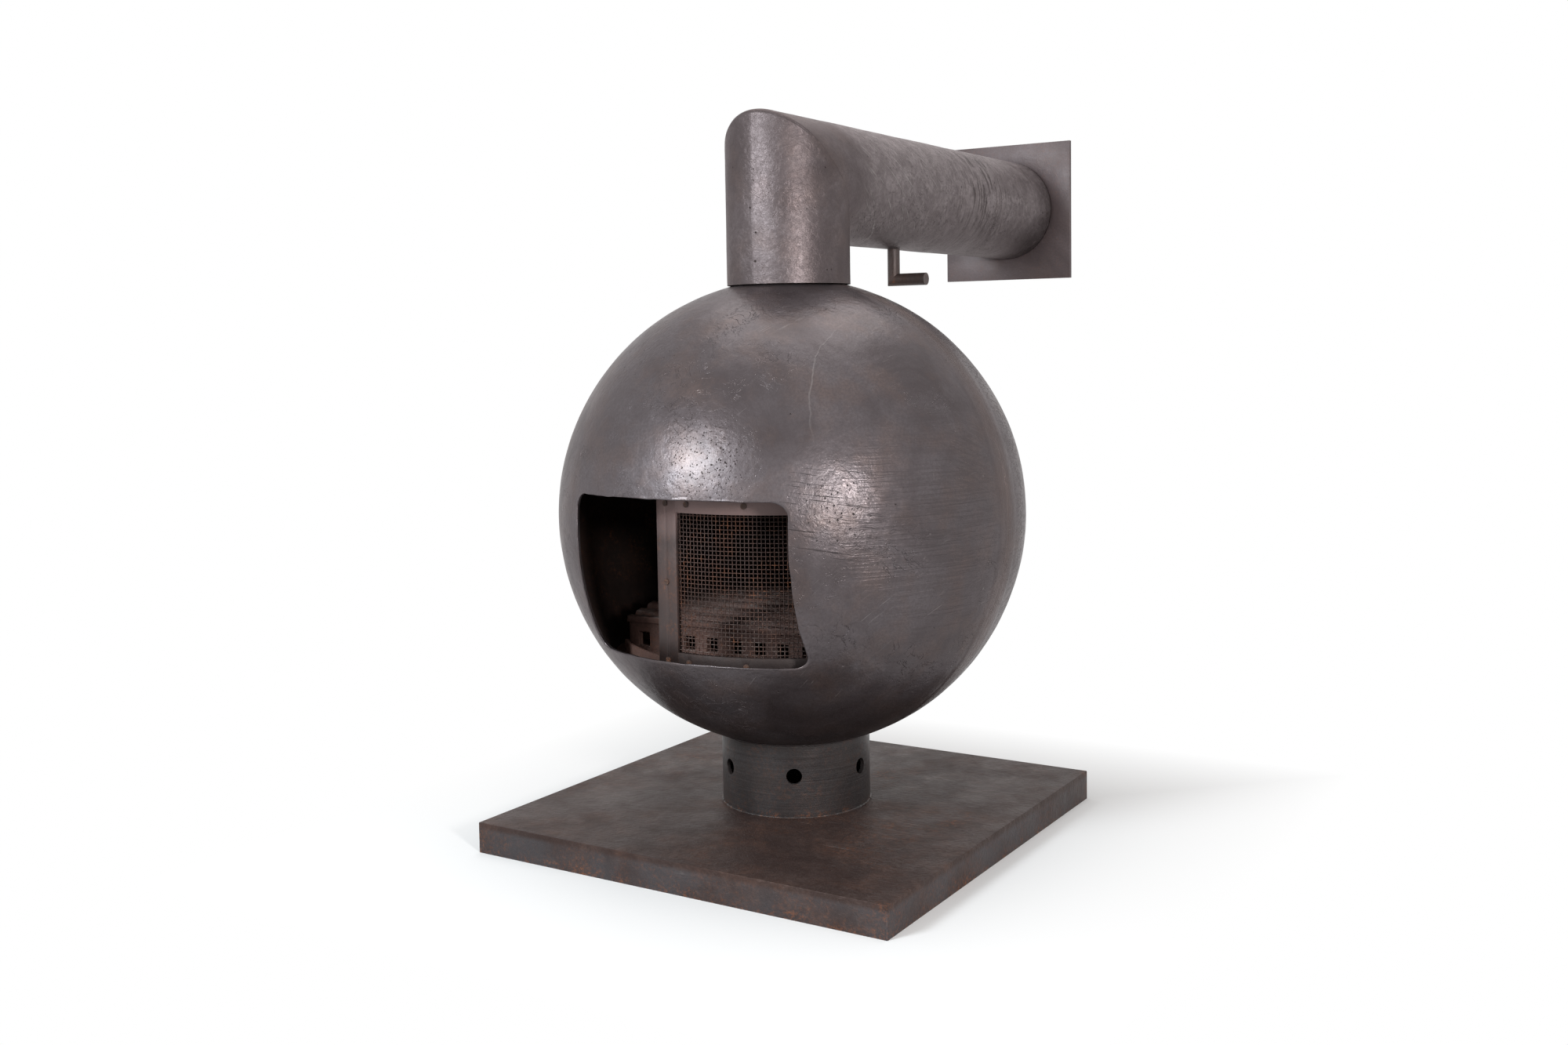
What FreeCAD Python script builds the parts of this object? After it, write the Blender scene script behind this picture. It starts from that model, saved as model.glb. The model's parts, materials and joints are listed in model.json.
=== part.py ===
import FreeCAD
import Part

import math
import os

V = FreeCAD.Vector

# Ball fireplace on a square hearth slab, with a mitred flue to a wall plate.
# Millimetres. Origin at the centre of the slab's underside, +Z up.
# The fire mouth faces -Y and the flue runs back along +Y.
# Angles round the ball's upright axis are in degrees from the front, positive towards +X.

# Hearth slab
HEARTH_SIDE = 726.0
HEARTH_HEIGHT = 48.0
HEARTH_PLATE_THICKNESS = 6.0
HEARTH_SKIRT_THICKNESS = 6.0
HEARTH_RIB_THICKNESS = 8.0
HEARTH_RIB_SPACING = 110.0

# Pedestal collar
COLLAR_DIAMETER = 241.0
COLLAR_WALL = 6.0
COLLAR_HEIGHT = 115.0
COLLAR_HOLE_DIAMETER = 25.0
COLLAR_HOLE_HEIGHT = 66.0
COLLAR_HOLE_COUNT = 6

# Ball
BALL_DIAMETER = 750.0
BALL_WALL = 6.0
AIR_INLET_DIAMETER = 150.0

# Fire mouth in the front half of the ball
MOUTH_WIDTH = 369.0
MOUTH_HEIGHT = 245.0
MOUTH_CORNER_RADIUS = 24.0
MOUTH_SIDE_SHIFT = 7.0
MOUTH_DROP = 68.0

# Fire floor
FLOOR_DROP = 224.0
FLOOR_THICKNESS = 6.0
FLOOR_AIR_DIAMETER = 200.0

# Sliding fire screen
SCREEN_SHELL_GAP = 8.0
SCREEN_SPAN = 90.0
SCREEN_REST_START = -13.5
SCREEN_CLOSE_TURN = -29.5
SCREEN_OPEN_TURN = 58.0
SCREEN_HEIGHT = 289.0
SCREEN_FLOOR_GAP = 0.6
SCREEN_BAR_THICKNESS = 4.0
SCREEN_BAR_WIDTH = 40.0
SCREEN_STRIP_THICKNESS = 2.0
SCREEN_STRIP_WIDTH = 32.0
SCREEN_JOINT_GAP = 0.1

# Screen mesh
MESH_PITCH = 6.3
MESH_WIRE_DIAMETER = 1.2
MESH_OVERLAP = 9.0

# Screen screws
SCREW_HEAD_DIAMETER = 9.0
SCREW_HEAD_HEIGHT = 1.6
SCREW_SHANK_DIAMETER = 4.0
SCREW_SLOT_WIDTH = 1.2
SCREW_HOLE_CLEARANCE = 0.1
SCREW_EDGE_INSET = 13.0
RAIL_SCREW_SHARES = (0.1, 0.33, 0.67, 0.9)

# Track and guide for the screen
SCREEN_RUNNING_GAP = 0.6
TRACK_THICKNESS = 5.0
TRACK_HEIGHT = 29.0
TRACK_END_TURN = 3.5
STOP_HEIGHT = 10.0
STOP_TURN = 3.0
STOP_GAP = 0.5
GUIDE_THICKNESS = 5.0
GUIDE_HEIGHT = 19.0
GUIDE_RISE = 2.5
SHOE_TURN = 6.0
SHOE_INSET = 22.0
SHOE_TOP = 5.5
SHOE_LIP_THICKNESS = 3.0
SHOE_LIP_DEPTH = 8.0
SHOE_GAP = 0.5
BRACKET_THICKNESS = 4.0
BRACKET_WIDTH = 24.0
BRACKET_FOOT = 8.0
BRACKET_HEADROOM = 4.0

# Grate basket
GRATE_TURN = 3.0
GRATE_SIDE_SHIFT = -13.0
GRATE_TRACK_GAP = 3.5
GRATE_CORNER_TURN = 52.0
GRATE_WALL = 11.0
GRATE_HEIGHT = 65.0
GRATE_RIM_HEIGHT = 10.0
GRATE_RIM_LIP = 2.5
GRATE_WINDOW_WIDTH = 20.0
GRATE_WINDOW_HEIGHT = 22.0
GRATE_WINDOW_SILL = 18.0
GRATE_WINDOW_PITCH = 42.3
GRATE_SIDE_MARGIN = 14.0

# Fire bars
FIRE_BAR_PITCH = 34.0
FIRE_BAR_WIDTH = 24.0
FIRE_BAR_HEIGHT = 18.0
FIRE_BAR_ROUND = 8.0
FIRE_BAR_WALL_GAP = 3.0
FIRE_BAR_RISE = 20.0

# Flue
FLUE_DIAMETER = 198.0
FLUE_WALL = 4.0
FLUE_BALL_GAP = 3.0
FLUE_AXIS_RISE = 170.4
FLUE_REACH = 858.0
FLUE_WALL_GAP = 3.4
SPIGOT_DIAMETER = 178.0
SPIGOT_WALL = 5.0
SPIGOT_HEIGHT = 45.0
SPIGOT_INSET = 8.0
SEAL_HEIGHT = 14.0
SEAL_DROP = 12.0

# Wall plate and thimble
PLATE_SIDE = 276.0
PLATE_THICKNESS = 8.0
PLATE_DROP = 3.0
THIMBLE_WALL = 4.0
THIMBLE_CLEARANCE = 0.5
THIMBLE_INSERT = 70.0

# Damper
DAMPER_STATION = 359.0
SPINDLE_DIAMETER = 22.0
SPINDLE_CLEARANCE = 0.05
SPINDLE_HOLE_CLEARANCE = 0.6
HANDLE_DROP = 153.4
HANDLE_REACH = 65.0
DISC_CLEARANCE = 3.0
DISC_THICKNESS = 4.0
BUSH_DIAMETER = 36.0
BUSH_HEIGHT = 14.0
BUSH_NOTCH_GAP = 1.5
SOCKET_END_GAP = 4.0
RETAINER_WIDTH = 5.0
RETAINER_HEIGHT = 8.0
RETAINER_GAP = 0.3
DAMPER_BOLT_DIAMETER = 6.0
DAMPER_BOLT_HEAD_WIDTH = 10.0
DAMPER_BOLT_HEAD_HEIGHT = 4.0
DAMPER_BOLT_GRIP = 9.0
DAMPER_BOLT_SPACING = 90.0
DAMPER_BOLT_CLEARANCE = 0.1

# All cuts run past their stock by this much
OVERRUN = 20.0

# An edge counts as parallel to an axis above this share of its length
PARALLEL_SHARE = 0.99

# Heights and radii that several pieces share
hearth_half = HEARTH_SIDE / 2
ball_radius = BALL_DIAMETER / 2
ball_inner_radius = ball_radius - BALL_WALL
collar_radius = COLLAR_DIAMETER / 2
ball_z = HEARTH_HEIGHT + COLLAR_HEIGHT + math.sqrt(ball_radius ** 2 - collar_radius ** 2)
ball_centre = V(0, 0, ball_z)
floor_z = ball_z - FLOOR_DROP
floor_radius = math.sqrt(ball_inner_radius ** 2 - FLOOR_DROP ** 2)

screen_outer_radius = floor_radius - SCREEN_SHELL_GAP
bar_inner_radius = screen_outer_radius - SCREEN_BAR_THICKNESS
upright_radius = bar_inner_radius - SCREEN_JOINT_GAP - MESH_WIRE_DIAMETER / 2
hoop_radius = upright_radius - MESH_WIRE_DIAMETER - SCREEN_JOINT_GAP
strip_outer_radius = hoop_radius - MESH_WIRE_DIAMETER / 2 - SCREEN_JOINT_GAP
screen_inner_radius = strip_outer_radius - SCREEN_STRIP_THICKNESS
screen_bottom_z = floor_z + SCREEN_FLOOR_GAP
screen_top_z = screen_bottom_z + SCREEN_HEIGHT
screen_rest_end = SCREEN_REST_START + SCREEN_SPAN
stile_turn = math.degrees(SCREEN_BAR_WIDTH / screen_outer_radius)
strip_turn = math.degrees(SCREEN_STRIP_WIDTH / screen_outer_radius)
stile_strip_start = SCREEN_REST_START + stile_turn - strip_turn
stile_strip_end = screen_rest_end - stile_turn + strip_turn
mesh_bottom_z = screen_bottom_z + SCREEN_BAR_WIDTH
mesh_top_z = screen_top_z - SCREEN_BAR_WIDTH

track_outer_radius = screen_inner_radius - SCREEN_RUNNING_GAP
track_inner_radius = track_outer_radius - TRACK_THICKNESS
track_start = SCREEN_REST_START + SCREEN_CLOSE_TURN - TRACK_END_TURN
track_end = screen_rest_end + SCREEN_OPEN_TURN + TRACK_END_TURN
guide_inner_radius = track_outer_radius - GUIDE_THICKNESS
guide_top_z = screen_top_z + GUIDE_RISE
guide_bottom_z = guide_top_z - GUIDE_HEIGHT
shoe_web_z = guide_top_z + SHOE_GAP
shoe_top_z = screen_top_z + GUIDE_RISE + SHOE_TOP
lip_outer_radius = guide_inner_radius - SHOE_GAP
lip_inner_radius = lip_outer_radius - SHOE_LIP_THICKNESS

grate_reach = track_inner_radius - GRATE_TRACK_GAP
grate_half_width = grate_reach * math.sin(math.radians(GRATE_CORNER_TURN)) - abs(GRATE_SIDE_SHIFT)
grate_half_depth = grate_reach * math.cos(math.radians(GRATE_CORNER_TURN))
grate_inner_width = grate_half_width - GRATE_WALL
grate_inner_depth = grate_half_depth - GRATE_WALL
grate_top_z = floor_z + GRATE_HEIGHT
crest_z = grate_top_z + FIRE_BAR_RISE
arch_radius = (grate_half_depth ** 2 + FIRE_BAR_RISE ** 2) / (FIRE_BAR_RISE * 2)
arch_z = crest_z - arch_radius
seat_radius = arch_radius - FIRE_BAR_HEIGHT

flue_radius = FLUE_DIAMETER / 2
flue_inner_radius = flue_radius - FLUE_WALL
spigot_radius = SPIGOT_DIAMETER / 2
riser_bottom_z = ball_z + math.sqrt(ball_radius ** 2 - flue_radius ** 2) + FLUE_BALL_GAP
flue_z = riser_bottom_z + FLUE_AXIS_RISE
plate_front_y = FLUE_REACH + FLUE_WALL_GAP
plate_back_y = plate_front_y + PLATE_THICKNESS
thimble_radius = flue_inner_radius - THIMBLE_CLEARANCE

spindle_radius = SPINDLE_DIAMETER / 2
handle_z = flue_z - HANDLE_DROP
bush_radius = BUSH_DIAMETER / 2
bush_top_z = flue_z - flue_inner_radius + BUSH_HEIGHT
socket_bottom_z = flue_z + flue_inner_radius - BUSH_HEIGHT
spindle_top_z = flue_z + flue_inner_radius - SOCKET_END_GAP
retainer_bottom_z = bush_top_z + RETAINER_GAP
retainer_top_z = retainer_bottom_z + RETAINER_HEIGHT
disc_radius = flue_inner_radius - DISC_CLEARANCE


def save(name, shape):
    shape.exportStep("parts/" + name + ".step")


def block(x_low, x_high, y_low, y_high, z_low, z_high):
    """Box between two corners."""
    return Part.makeBox(x_high - x_low, y_high - y_low, z_high - z_low, V(x_low, y_low, z_low))


def rod(radius, start, end):
    """Round bar between two points."""
    axis = end - start
    return Part.makeCylinder(radius, axis.Length, start, axis)


def tube(outer_radius, inner_radius, start, end):
    """Round pipe between two points."""
    return rod(outer_radius, start, end).cut(rod(inner_radius, start, end))


def round_point(radius, angle, z):
    """Point at an angle round the ball's upright axis."""
    turn = math.radians(angle)
    return V(radius * math.sin(turn), -radius * math.cos(turn), z)


def swept_round(profile, start, end):
    """Profile of (radius, z) points turned about the upright axis from one angle to another."""
    corners = [round_point(radius, start, z) for radius, z in profile]
    face = Part.Face(Part.makePolygon(corners + corners[:1]))
    return face.revolve(V(0, 0, 0), V(0, 0, 1), end - start)


def curved_bar(inner_radius, outer_radius, bottom_z, top_z, start, end):
    """Rolled flat bar."""
    profile = [
        (inner_radius, bottom_z),
        (outer_radius, bottom_z),
        (outer_radius, top_z),
        (inner_radius, top_z),
    ]
    return swept_round(profile, start, end)


def edges_along(shape, axis):
    """Straight edges of a shape that are parallel to an axis."""
    found = []
    for edge in shape.Edges:
        span = edge.Vertexes[-1].Point - edge.Vertexes[0].Point
        if abs(span.dot(axis)) > edge.Length * PARALLEL_SHARE:
            found.append(edge)
    return found


def drilled(shape, tools):
    """Shape with every tool cut away."""
    return shape.cut(Part.makeCompound(tools))


def make_hearth():
    plate_z = HEARTH_HEIGHT - HEARTH_PLATE_THICKNESS
    inner_half = hearth_half - HEARTH_SKIRT_THICKNESS
    plate = block(-hearth_half, hearth_half, -hearth_half, hearth_half, plate_z, HEARTH_HEIGHT)
    save("hearth_top_plate", plate)
    save("hearth_skirt_front", block(-hearth_half, hearth_half, -hearth_half, -inner_half, 0, plate_z))
    save("hearth_skirt_back", block(-hearth_half, hearth_half, inner_half, hearth_half, 0, plate_z))
    save("hearth_skirt_left", block(-hearth_half, -inner_half, -inner_half, inner_half, 0, plate_z))
    save("hearth_skirt_right", block(inner_half, hearth_half, -inner_half, inner_half, 0, plate_z))
    for side, name in ((-1, "left"), (0, "middle"), (1, "right")):
        middle = side * HEARTH_RIB_SPACING
        near = middle - HEARTH_RIB_THICKNESS / 2
        far = middle + HEARTH_RIB_THICKNESS / 2
        save("hearth_rib_" + name, block(near, far, -inner_half, inner_half, 0, plate_z))


def make_collar():
    collar = tube(collar_radius, collar_radius - COLLAR_WALL, V(0, 0, HEARTH_HEIGHT), ball_centre)
    collar = collar.cut(Part.makeSphere(ball_radius, ball_centre))
    hole_z = HEARTH_HEIGHT + COLLAR_HOLE_HEIGHT
    step = 360 / COLLAR_HOLE_COUNT
    holes = []
    for index in range(COLLAR_HOLE_COUNT):
        mouth = round_point(collar_radius + OVERRUN, step * index + step / 2, hole_z)
        holes.append(rod(COLLAR_HOLE_DIAMETER / 2, V(0, 0, hole_z), mouth))
    save("pedestal_collar", drilled(collar, holes))


def mouth_cutter():
    """Straight prism with rounded corners, the shape of the fire mouth."""
    mouth_z = ball_z - MOUTH_DROP
    prism = block(
        MOUTH_SIDE_SHIFT - MOUTH_WIDTH / 2,
        MOUTH_SIDE_SHIFT + MOUTH_WIDTH / 2,
        -ball_radius - OVERRUN,
        0,
        mouth_z - MOUTH_HEIGHT / 2,
        mouth_z + MOUTH_HEIGHT / 2,
    )
    return prism.makeFillet(MOUTH_CORNER_RADIUS, edges_along(prism, V(0, 1, 0)))


def make_ball():
    reach = ball_radius + OVERRUN
    shell = Part.makeSphere(ball_radius, ball_centre).cut(Part.makeSphere(ball_inner_radius, ball_centre))
    inlet = rod(AIR_INLET_DIAMETER / 2, V(0, 0, 0), ball_centre)
    outlet = rod(spigot_radius, ball_centre, V(0, 0, ball_z + reach))
    shell = drilled(shell, [inlet, outlet])
    front = shell.common(block(-reach, reach, -reach, 0, ball_z - reach, ball_z + reach))
    rear = shell.common(block(-reach, reach, 0, reach, ball_z - reach, ball_z + reach))
    save("front_hemisphere", front.cut(mouth_cutter()))
    save("rear_hemisphere", rear)


def make_fire_floor():
    disc = rod(ball_inner_radius, V(0, 0, floor_z - FLOOR_THICKNESS), V(0, 0, floor_z))
    disc = disc.common(Part.makeSphere(ball_inner_radius, ball_centre))
    hole = rod(FLOOR_AIR_DIAMETER / 2, V(0, 0, 0), ball_centre)
    save("fire_floor", disc.cut(hole))


def make_track():
    track_top_z = floor_z + TRACK_HEIGHT
    track = curved_bar(track_inner_radius, track_outer_radius, floor_z, track_top_z, track_start, track_end)
    save("screen_track", track)
    closed_start = SCREEN_REST_START + SCREEN_CLOSE_TURN - STOP_GAP
    open_end = screen_rest_end + SCREEN_OPEN_TURN + STOP_GAP
    for name, start in (("left", closed_start - STOP_TURN), ("right", open_end)):
        stop = curved_bar(
            screen_inner_radius,
            screen_outer_radius,
            floor_z,
            floor_z + STOP_HEIGHT,
            start,
            start + STOP_TURN,
        )
        save("screen_stop_" + name, stop)


def make_guide():
    guide = curved_bar(
        guide_inner_radius,
        track_outer_radius,
        guide_bottom_z,
        guide_top_z,
        track_start,
        track_end,
    )
    save("screen_guide", guide)
    arm_z = shoe_top_z + BRACKET_HEADROOM
    arm_top_z = arm_z + BRACKET_THICKNESS
    leg_outer = lip_inner_radius - SHOE_GAP
    leg_inner = leg_outer - BRACKET_THICKNESS
    profile = [
        (guide_inner_radius, guide_bottom_z),
        (guide_inner_radius, guide_bottom_z + BRACKET_FOOT),
        (leg_outer, guide_bottom_z + BRACKET_FOOT),
        (leg_outer, arm_z),
        (ball_radius, arm_z),
        (ball_radius, arm_top_z),
        (leg_inner, arm_top_z),
        (leg_inner, guide_bottom_z),
    ]
    corners = [V(-BRACKET_WIDTH / 2, -radius, z) for radius, z in profile]
    strap = Part.Face(Part.makePolygon(corners + corners[:1])).extrude(V(BRACKET_WIDTH, 0, 0))
    bend = rod(guide_inner_radius, V(0, 0, guide_bottom_z), V(0, 0, arm_top_z))
    foot_zone = rod(ball_radius, V(0, 0, guide_bottom_z), V(0, 0, guide_bottom_z + BRACKET_FOOT)).cut(bend)
    strap = strap.cut(foot_zone).common(Part.makeSphere(ball_inner_radius, ball_centre))
    end_inset = math.degrees(BRACKET_WIDTH / 2 / guide_inner_radius)
    first = track_start + end_inset
    last = track_end - end_inset
    for name, angle in (("left", first), ("middle", (first + last) / 2), ("right", last)):
        bracket = strap.copy()
        bracket.rotate(V(0, 0, 0), V(0, 0, 1), angle)
        save("guide_bracket_" + name, bracket)


def screw_places():
    """Angle and height of every screw in the screen's frame."""
    left = SCREEN_REST_START + stile_turn / 2
    right = screen_rest_end - stile_turn / 2
    bottom = mesh_bottom_z - SCREW_EDGE_INSET
    top = mesh_top_z + SCREW_EDGE_INSET
    places = []
    for angle in (left, right):
        for z in (bottom, (bottom + top) / 2, top):
            places.append((angle, z))
    for share in RAIL_SCREW_SHARES:
        for z in (bottom, top):
            places.append((left + (right - left) * share, z))
    return places


def screw_holes():
    radius = SCREW_SHANK_DIAMETER / 2 + SCREW_HOLE_CLEARANCE
    holes = []
    for angle, z in screw_places():
        inner = round_point(screen_inner_radius - OVERRUN, angle, z)
        outer = round_point(screen_outer_radius + OVERRUN, angle, z)
        holes.append(rod(radius, inner, outer))
    return holes


def make_screen_frame():
    holes = screw_holes()
    start = SCREEN_REST_START
    end = screen_rest_end
    bars = (
        ("screen_left_stile", start, start + stile_turn, screen_bottom_z, screen_top_z),
        ("screen_right_stile", end - stile_turn, end, screen_bottom_z, screen_top_z),
        ("screen_bottom_rail", start + stile_turn, end - stile_turn, screen_bottom_z, mesh_bottom_z),
        ("screen_top_rail", start + stile_turn, end - stile_turn, mesh_top_z, screen_top_z),
    )
    for name, low, high, bottom, top in bars:
        bar = curved_bar(bar_inner_radius, screen_outer_radius, bottom, top, low, high)
        save(name, drilled(bar, holes))
    strip_bottom_z = mesh_bottom_z - SCREEN_STRIP_WIDTH
    strip_top_z = mesh_top_z + SCREEN_STRIP_WIDTH
    mesh_start = start + stile_turn
    mesh_end = end - stile_turn
    strips = (
        ("mesh_strip_left", stile_strip_start, mesh_start, strip_bottom_z, strip_top_z),
        ("mesh_strip_right", mesh_end, stile_strip_end, strip_bottom_z, strip_top_z),
        ("mesh_strip_bottom", mesh_start, mesh_end, strip_bottom_z, mesh_bottom_z),
        ("mesh_strip_top", mesh_start, mesh_end, mesh_top_z, strip_top_z),
    )
    for name, low, high, bottom, top in strips:
        strip = curved_bar(screen_inner_radius, strip_outer_radius, bottom, top, low, high)
        save(name, drilled(strip, holes))


def make_mesh():
    overlap_turn = math.degrees(MESH_OVERLAP / screen_outer_radius)
    first = SCREEN_REST_START + stile_turn - overlap_turn
    last = screen_rest_end - stile_turn + overlap_turn
    bottom = mesh_bottom_z - MESH_OVERLAP
    top = mesh_top_z + MESH_OVERLAP
    wire_radius = MESH_WIRE_DIAMETER / 2
    upright_count = int(math.radians(last - first) * upright_radius / MESH_PITCH)
    uprights = []
    for index in range(upright_count + 1):
        angle = first + (last - first) * index / upright_count
        foot = round_point(upright_radius, angle, bottom)
        uprights.append(rod(wire_radius, foot, V(foot.x, foot.y, top)))
    save("mesh_uprights", Part.makeCompound(uprights))
    hoop_count = int((top - bottom) / MESH_PITCH)
    hoops = []
    for index in range(hoop_count + 1):
        z = bottom + (top - bottom) * index / hoop_count
        section = Part.Circle(round_point(hoop_radius, first, z), round_point(1, first + 90, 0), wire_radius)
        face = Part.Face(Part.Wire(section.toShape()))
        hoops.append(face.revolve(V(0, 0, 0), V(0, 0, 1), last - first))
    save("mesh_hoops", Part.makeCompound(hoops))


def make_screws():
    screws = []
    for angle, z in screw_places():
        seat = round_point(screen_outer_radius, angle, z)
        out = round_point(1, angle, 0)
        side = round_point(1, angle + 90, 0)
        tail = round_point(screen_inner_radius, angle, z)
        crown = seat + out * SCREW_HEAD_HEIGHT
        screw = rod(SCREW_HEAD_DIAMETER / 2, seat, crown).fuse(rod(SCREW_SHANK_DIAMETER / 2, tail, seat))
        corner = seat + out * (SCREW_HEAD_HEIGHT / 2)
        corner = corner - side * (SCREW_HEAD_DIAMETER / 2) - V(0, 0, SCREW_SLOT_WIDTH / 2)
        slot_face = Part.Face(
            Part.makePolygon(
                [
                    corner,
                    corner + side * SCREW_HEAD_DIAMETER,
                    corner + side * SCREW_HEAD_DIAMETER + V(0, 0, SCREW_SLOT_WIDTH),
                    corner + V(0, 0, SCREW_SLOT_WIDTH),
                    corner,
                ]
            )
        )
        screws.append(screw.cut(slot_face.extrude(out * SCREW_HEAD_HEIGHT)))
    save("screen_screws", Part.makeCompound(screws))


def make_shoes():
    profile = [
        (screen_inner_radius, screen_top_z),
        (screen_outer_radius, screen_top_z),
        (screen_outer_radius, shoe_top_z),
        (lip_inner_radius, shoe_top_z),
        (lip_inner_radius, guide_top_z - SHOE_LIP_DEPTH),
        (lip_outer_radius, guide_top_z - SHOE_LIP_DEPTH),
        (lip_outer_radius, shoe_web_z),
        (screen_inner_radius, shoe_web_z),
    ]
    left = SCREEN_REST_START + SHOE_INSET
    right = screen_rest_end - SHOE_INSET - SHOE_TURN
    for name, start in (("left", left), ("right", right)):
        save("screen_shoe_" + name, swept_round(profile, start, start + SHOE_TURN))


def set_in_place(shape):
    """Move a grate piece from the basket's own frame to where the basket stands."""
    placed = shape.copy()
    placed.translate(V(GRATE_SIDE_SHIFT, 0, 0))
    placed.rotate(V(0, 0, 0), V(0, 0, 1), GRATE_TURN)
    return placed


def basket_block(half_width, half_depth, bottom_z, top_z):
    """Box about the middle of the basket."""
    return block(-half_width, half_width, -half_depth, half_depth, bottom_z, top_z)


def window_row(half_length):
    """Positions of evenly pitched windows about the middle of a wall."""
    room = half_length - GRATE_SIDE_MARGIN - GRATE_WINDOW_WIDTH / 2
    count = int(room / GRATE_WINDOW_PITCH)
    return [GRATE_WINDOW_PITCH * index for index in range(-count, count + 1)]


def make_grate_frame():
    """Front and back walls with a rim, and side walls with an arched top that carries the bars."""
    rim_z = grate_top_z - GRATE_RIM_HEIGHT
    rim_width = grate_half_width + GRATE_RIM_LIP
    rim_depth = grate_half_depth + GRATE_RIM_LIP
    frame = basket_block(grate_half_width, grate_half_depth, floor_z, rim_z)
    frame = frame.fuse(basket_block(rim_width, rim_depth, rim_z, grate_top_z))
    frame = frame.cut(basket_block(rim_width, grate_inner_depth, floor_z, grate_top_z))
    seat = rod(seat_radius, V(-grate_half_width, 0, arch_z), V(grate_half_width, 0, arch_z))
    sides = basket_block(grate_half_width, grate_inner_depth, floor_z, crest_z).common(seat)
    frame = frame.fuse(sides).cut(basket_block(grate_inner_width, grate_inner_depth, floor_z, crest_z))
    sill = floor_z + GRATE_WINDOW_SILL
    lintel = sill + GRATE_WINDOW_HEIGHT
    half_window = GRATE_WINDOW_WIDTH / 2
    wide = grate_half_width + OVERRUN
    deep = grate_half_depth + OVERRUN
    windows = []
    for x in window_row(grate_half_width):
        windows.append(block(x - half_window, x + half_window, -deep, deep, sill, lintel))
    for y in window_row(grate_half_depth):
        windows.append(block(-wide, wide, y - half_window, y + half_window, sill, lintel))
    save("grate_frame", set_in_place(drilled(frame.removeSplitter(), windows)))


def make_fire_bars():
    """Bars side by side along an arch, from one side wall to the other."""
    half_bar = FIRE_BAR_WIDTH / 2
    stock = basket_block(grate_half_width, half_bar, crest_z - FIRE_BAR_HEIGHT, crest_z)
    long_edges = edges_along(stock, V(1, 0, 0))
    top_edges = [edge for edge in long_edges if edge.CenterOfMass.z > crest_z - FIRE_BAR_ROUND]
    stock = stock.makeFillet(FIRE_BAR_ROUND, top_edges)
    reach = grate_inner_depth - FIRE_BAR_WALL_GAP - half_bar
    last_turn = math.degrees(math.asin(reach / arch_radius))
    gap_count = int(reach * 2 / FIRE_BAR_PITCH)
    for index in range(gap_count + 1):
        bar = stock.copy()
        bar.rotate(V(0, 0, arch_z), V(1, 0, 0), last_turn * (index * 2 / gap_count - 1))
        save("fire_bar_" + str(index + 1), set_in_place(bar))


def mitre_half(upper):
    """Half space above or below the 45 degree mitre plane between riser and run."""
    reach = FLUE_REACH + flue_radius + OVERRUN
    half = block(-reach, reach, -reach, reach, 0, reach * 2)
    if not upper:
        half.translate(V(0, 0, -reach * 2))
    half.rotate(V(0, 0, 0), V(1, 0, 0), -45)
    half.translate(V(0, 0, flue_z))
    return half


def make_flue():
    top = V(0, 0, flue_z + flue_radius + OVERRUN)
    riser = tube(flue_radius, flue_inner_radius, V(0, 0, riser_bottom_z), top).common(mitre_half(False))
    save("flue_riser", riser)
    back = V(0, -flue_radius - OVERRUN, flue_z)
    run = tube(flue_radius, flue_inner_radius, back, V(0, FLUE_REACH, flue_z)).common(mitre_half(True))
    hole = rod(
        spindle_radius + SPINDLE_HOLE_CLEARANCE,
        V(0, DAMPER_STATION, handle_z),
        V(0, DAMPER_STATION, flue_z),
    )
    save("flue_run", run.cut(hole))
    spigot_foot_z = ball_z + math.sqrt(ball_inner_radius ** 2 - spigot_radius ** 2) - SPIGOT_INSET
    spigot_top = V(0, 0, riser_bottom_z + SPIGOT_HEIGHT)
    save("flue_spigot", tube(spigot_radius, spigot_radius - SPIGOT_WALL, V(0, 0, spigot_foot_z), spigot_top))
    seal_top = spigot_top - V(0, 0, SEAL_DROP)
    save("flue_seal", tube(flue_inner_radius, spigot_radius, seal_top - V(0, 0, SEAL_HEIGHT), seal_top))


def make_wall_plate():
    plate_z = flue_z - PLATE_DROP
    half = PLATE_SIDE / 2
    plate = block(-half, half, plate_front_y, plate_back_y, plate_z - half, plate_z + half)
    front = V(0, FLUE_REACH - THIMBLE_INSERT, flue_z)
    back = V(0, plate_back_y, flue_z)
    save("wall_plate", plate.cut(rod(thimble_radius, front, back)))
    save("wall_thimble", tube(thimble_radius, thimble_radius - THIMBLE_WALL, front, back))


def make_damper_bushes():
    pipe = tube(flue_radius + OVERRUN, flue_inner_radius, V(0, 0, flue_z), V(0, FLUE_REACH, flue_z))
    bore = rod(
        spindle_radius + SPINDLE_CLEARANCE,
        V(0, DAMPER_STATION, handle_z),
        V(0, DAMPER_STATION, spindle_top_z),
    )
    low = V(0, DAMPER_STATION, flue_z - flue_radius)
    high = V(0, DAMPER_STATION, flue_z + flue_radius)
    lower = rod(bush_radius, low, V(0, DAMPER_STATION, bush_top_z))
    upper = rod(bush_radius, V(0, DAMPER_STATION, socket_bottom_z), high)
    save("damper_lower_bush", lower.cut(pipe).cut(bore))
    save("damper_upper_bush", upper.cut(pipe).cut(bore))


def damper_bolt_heights():
    return (flue_z - DAMPER_BOLT_SPACING / 2, flue_z + DAMPER_BOLT_SPACING / 2)


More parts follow.
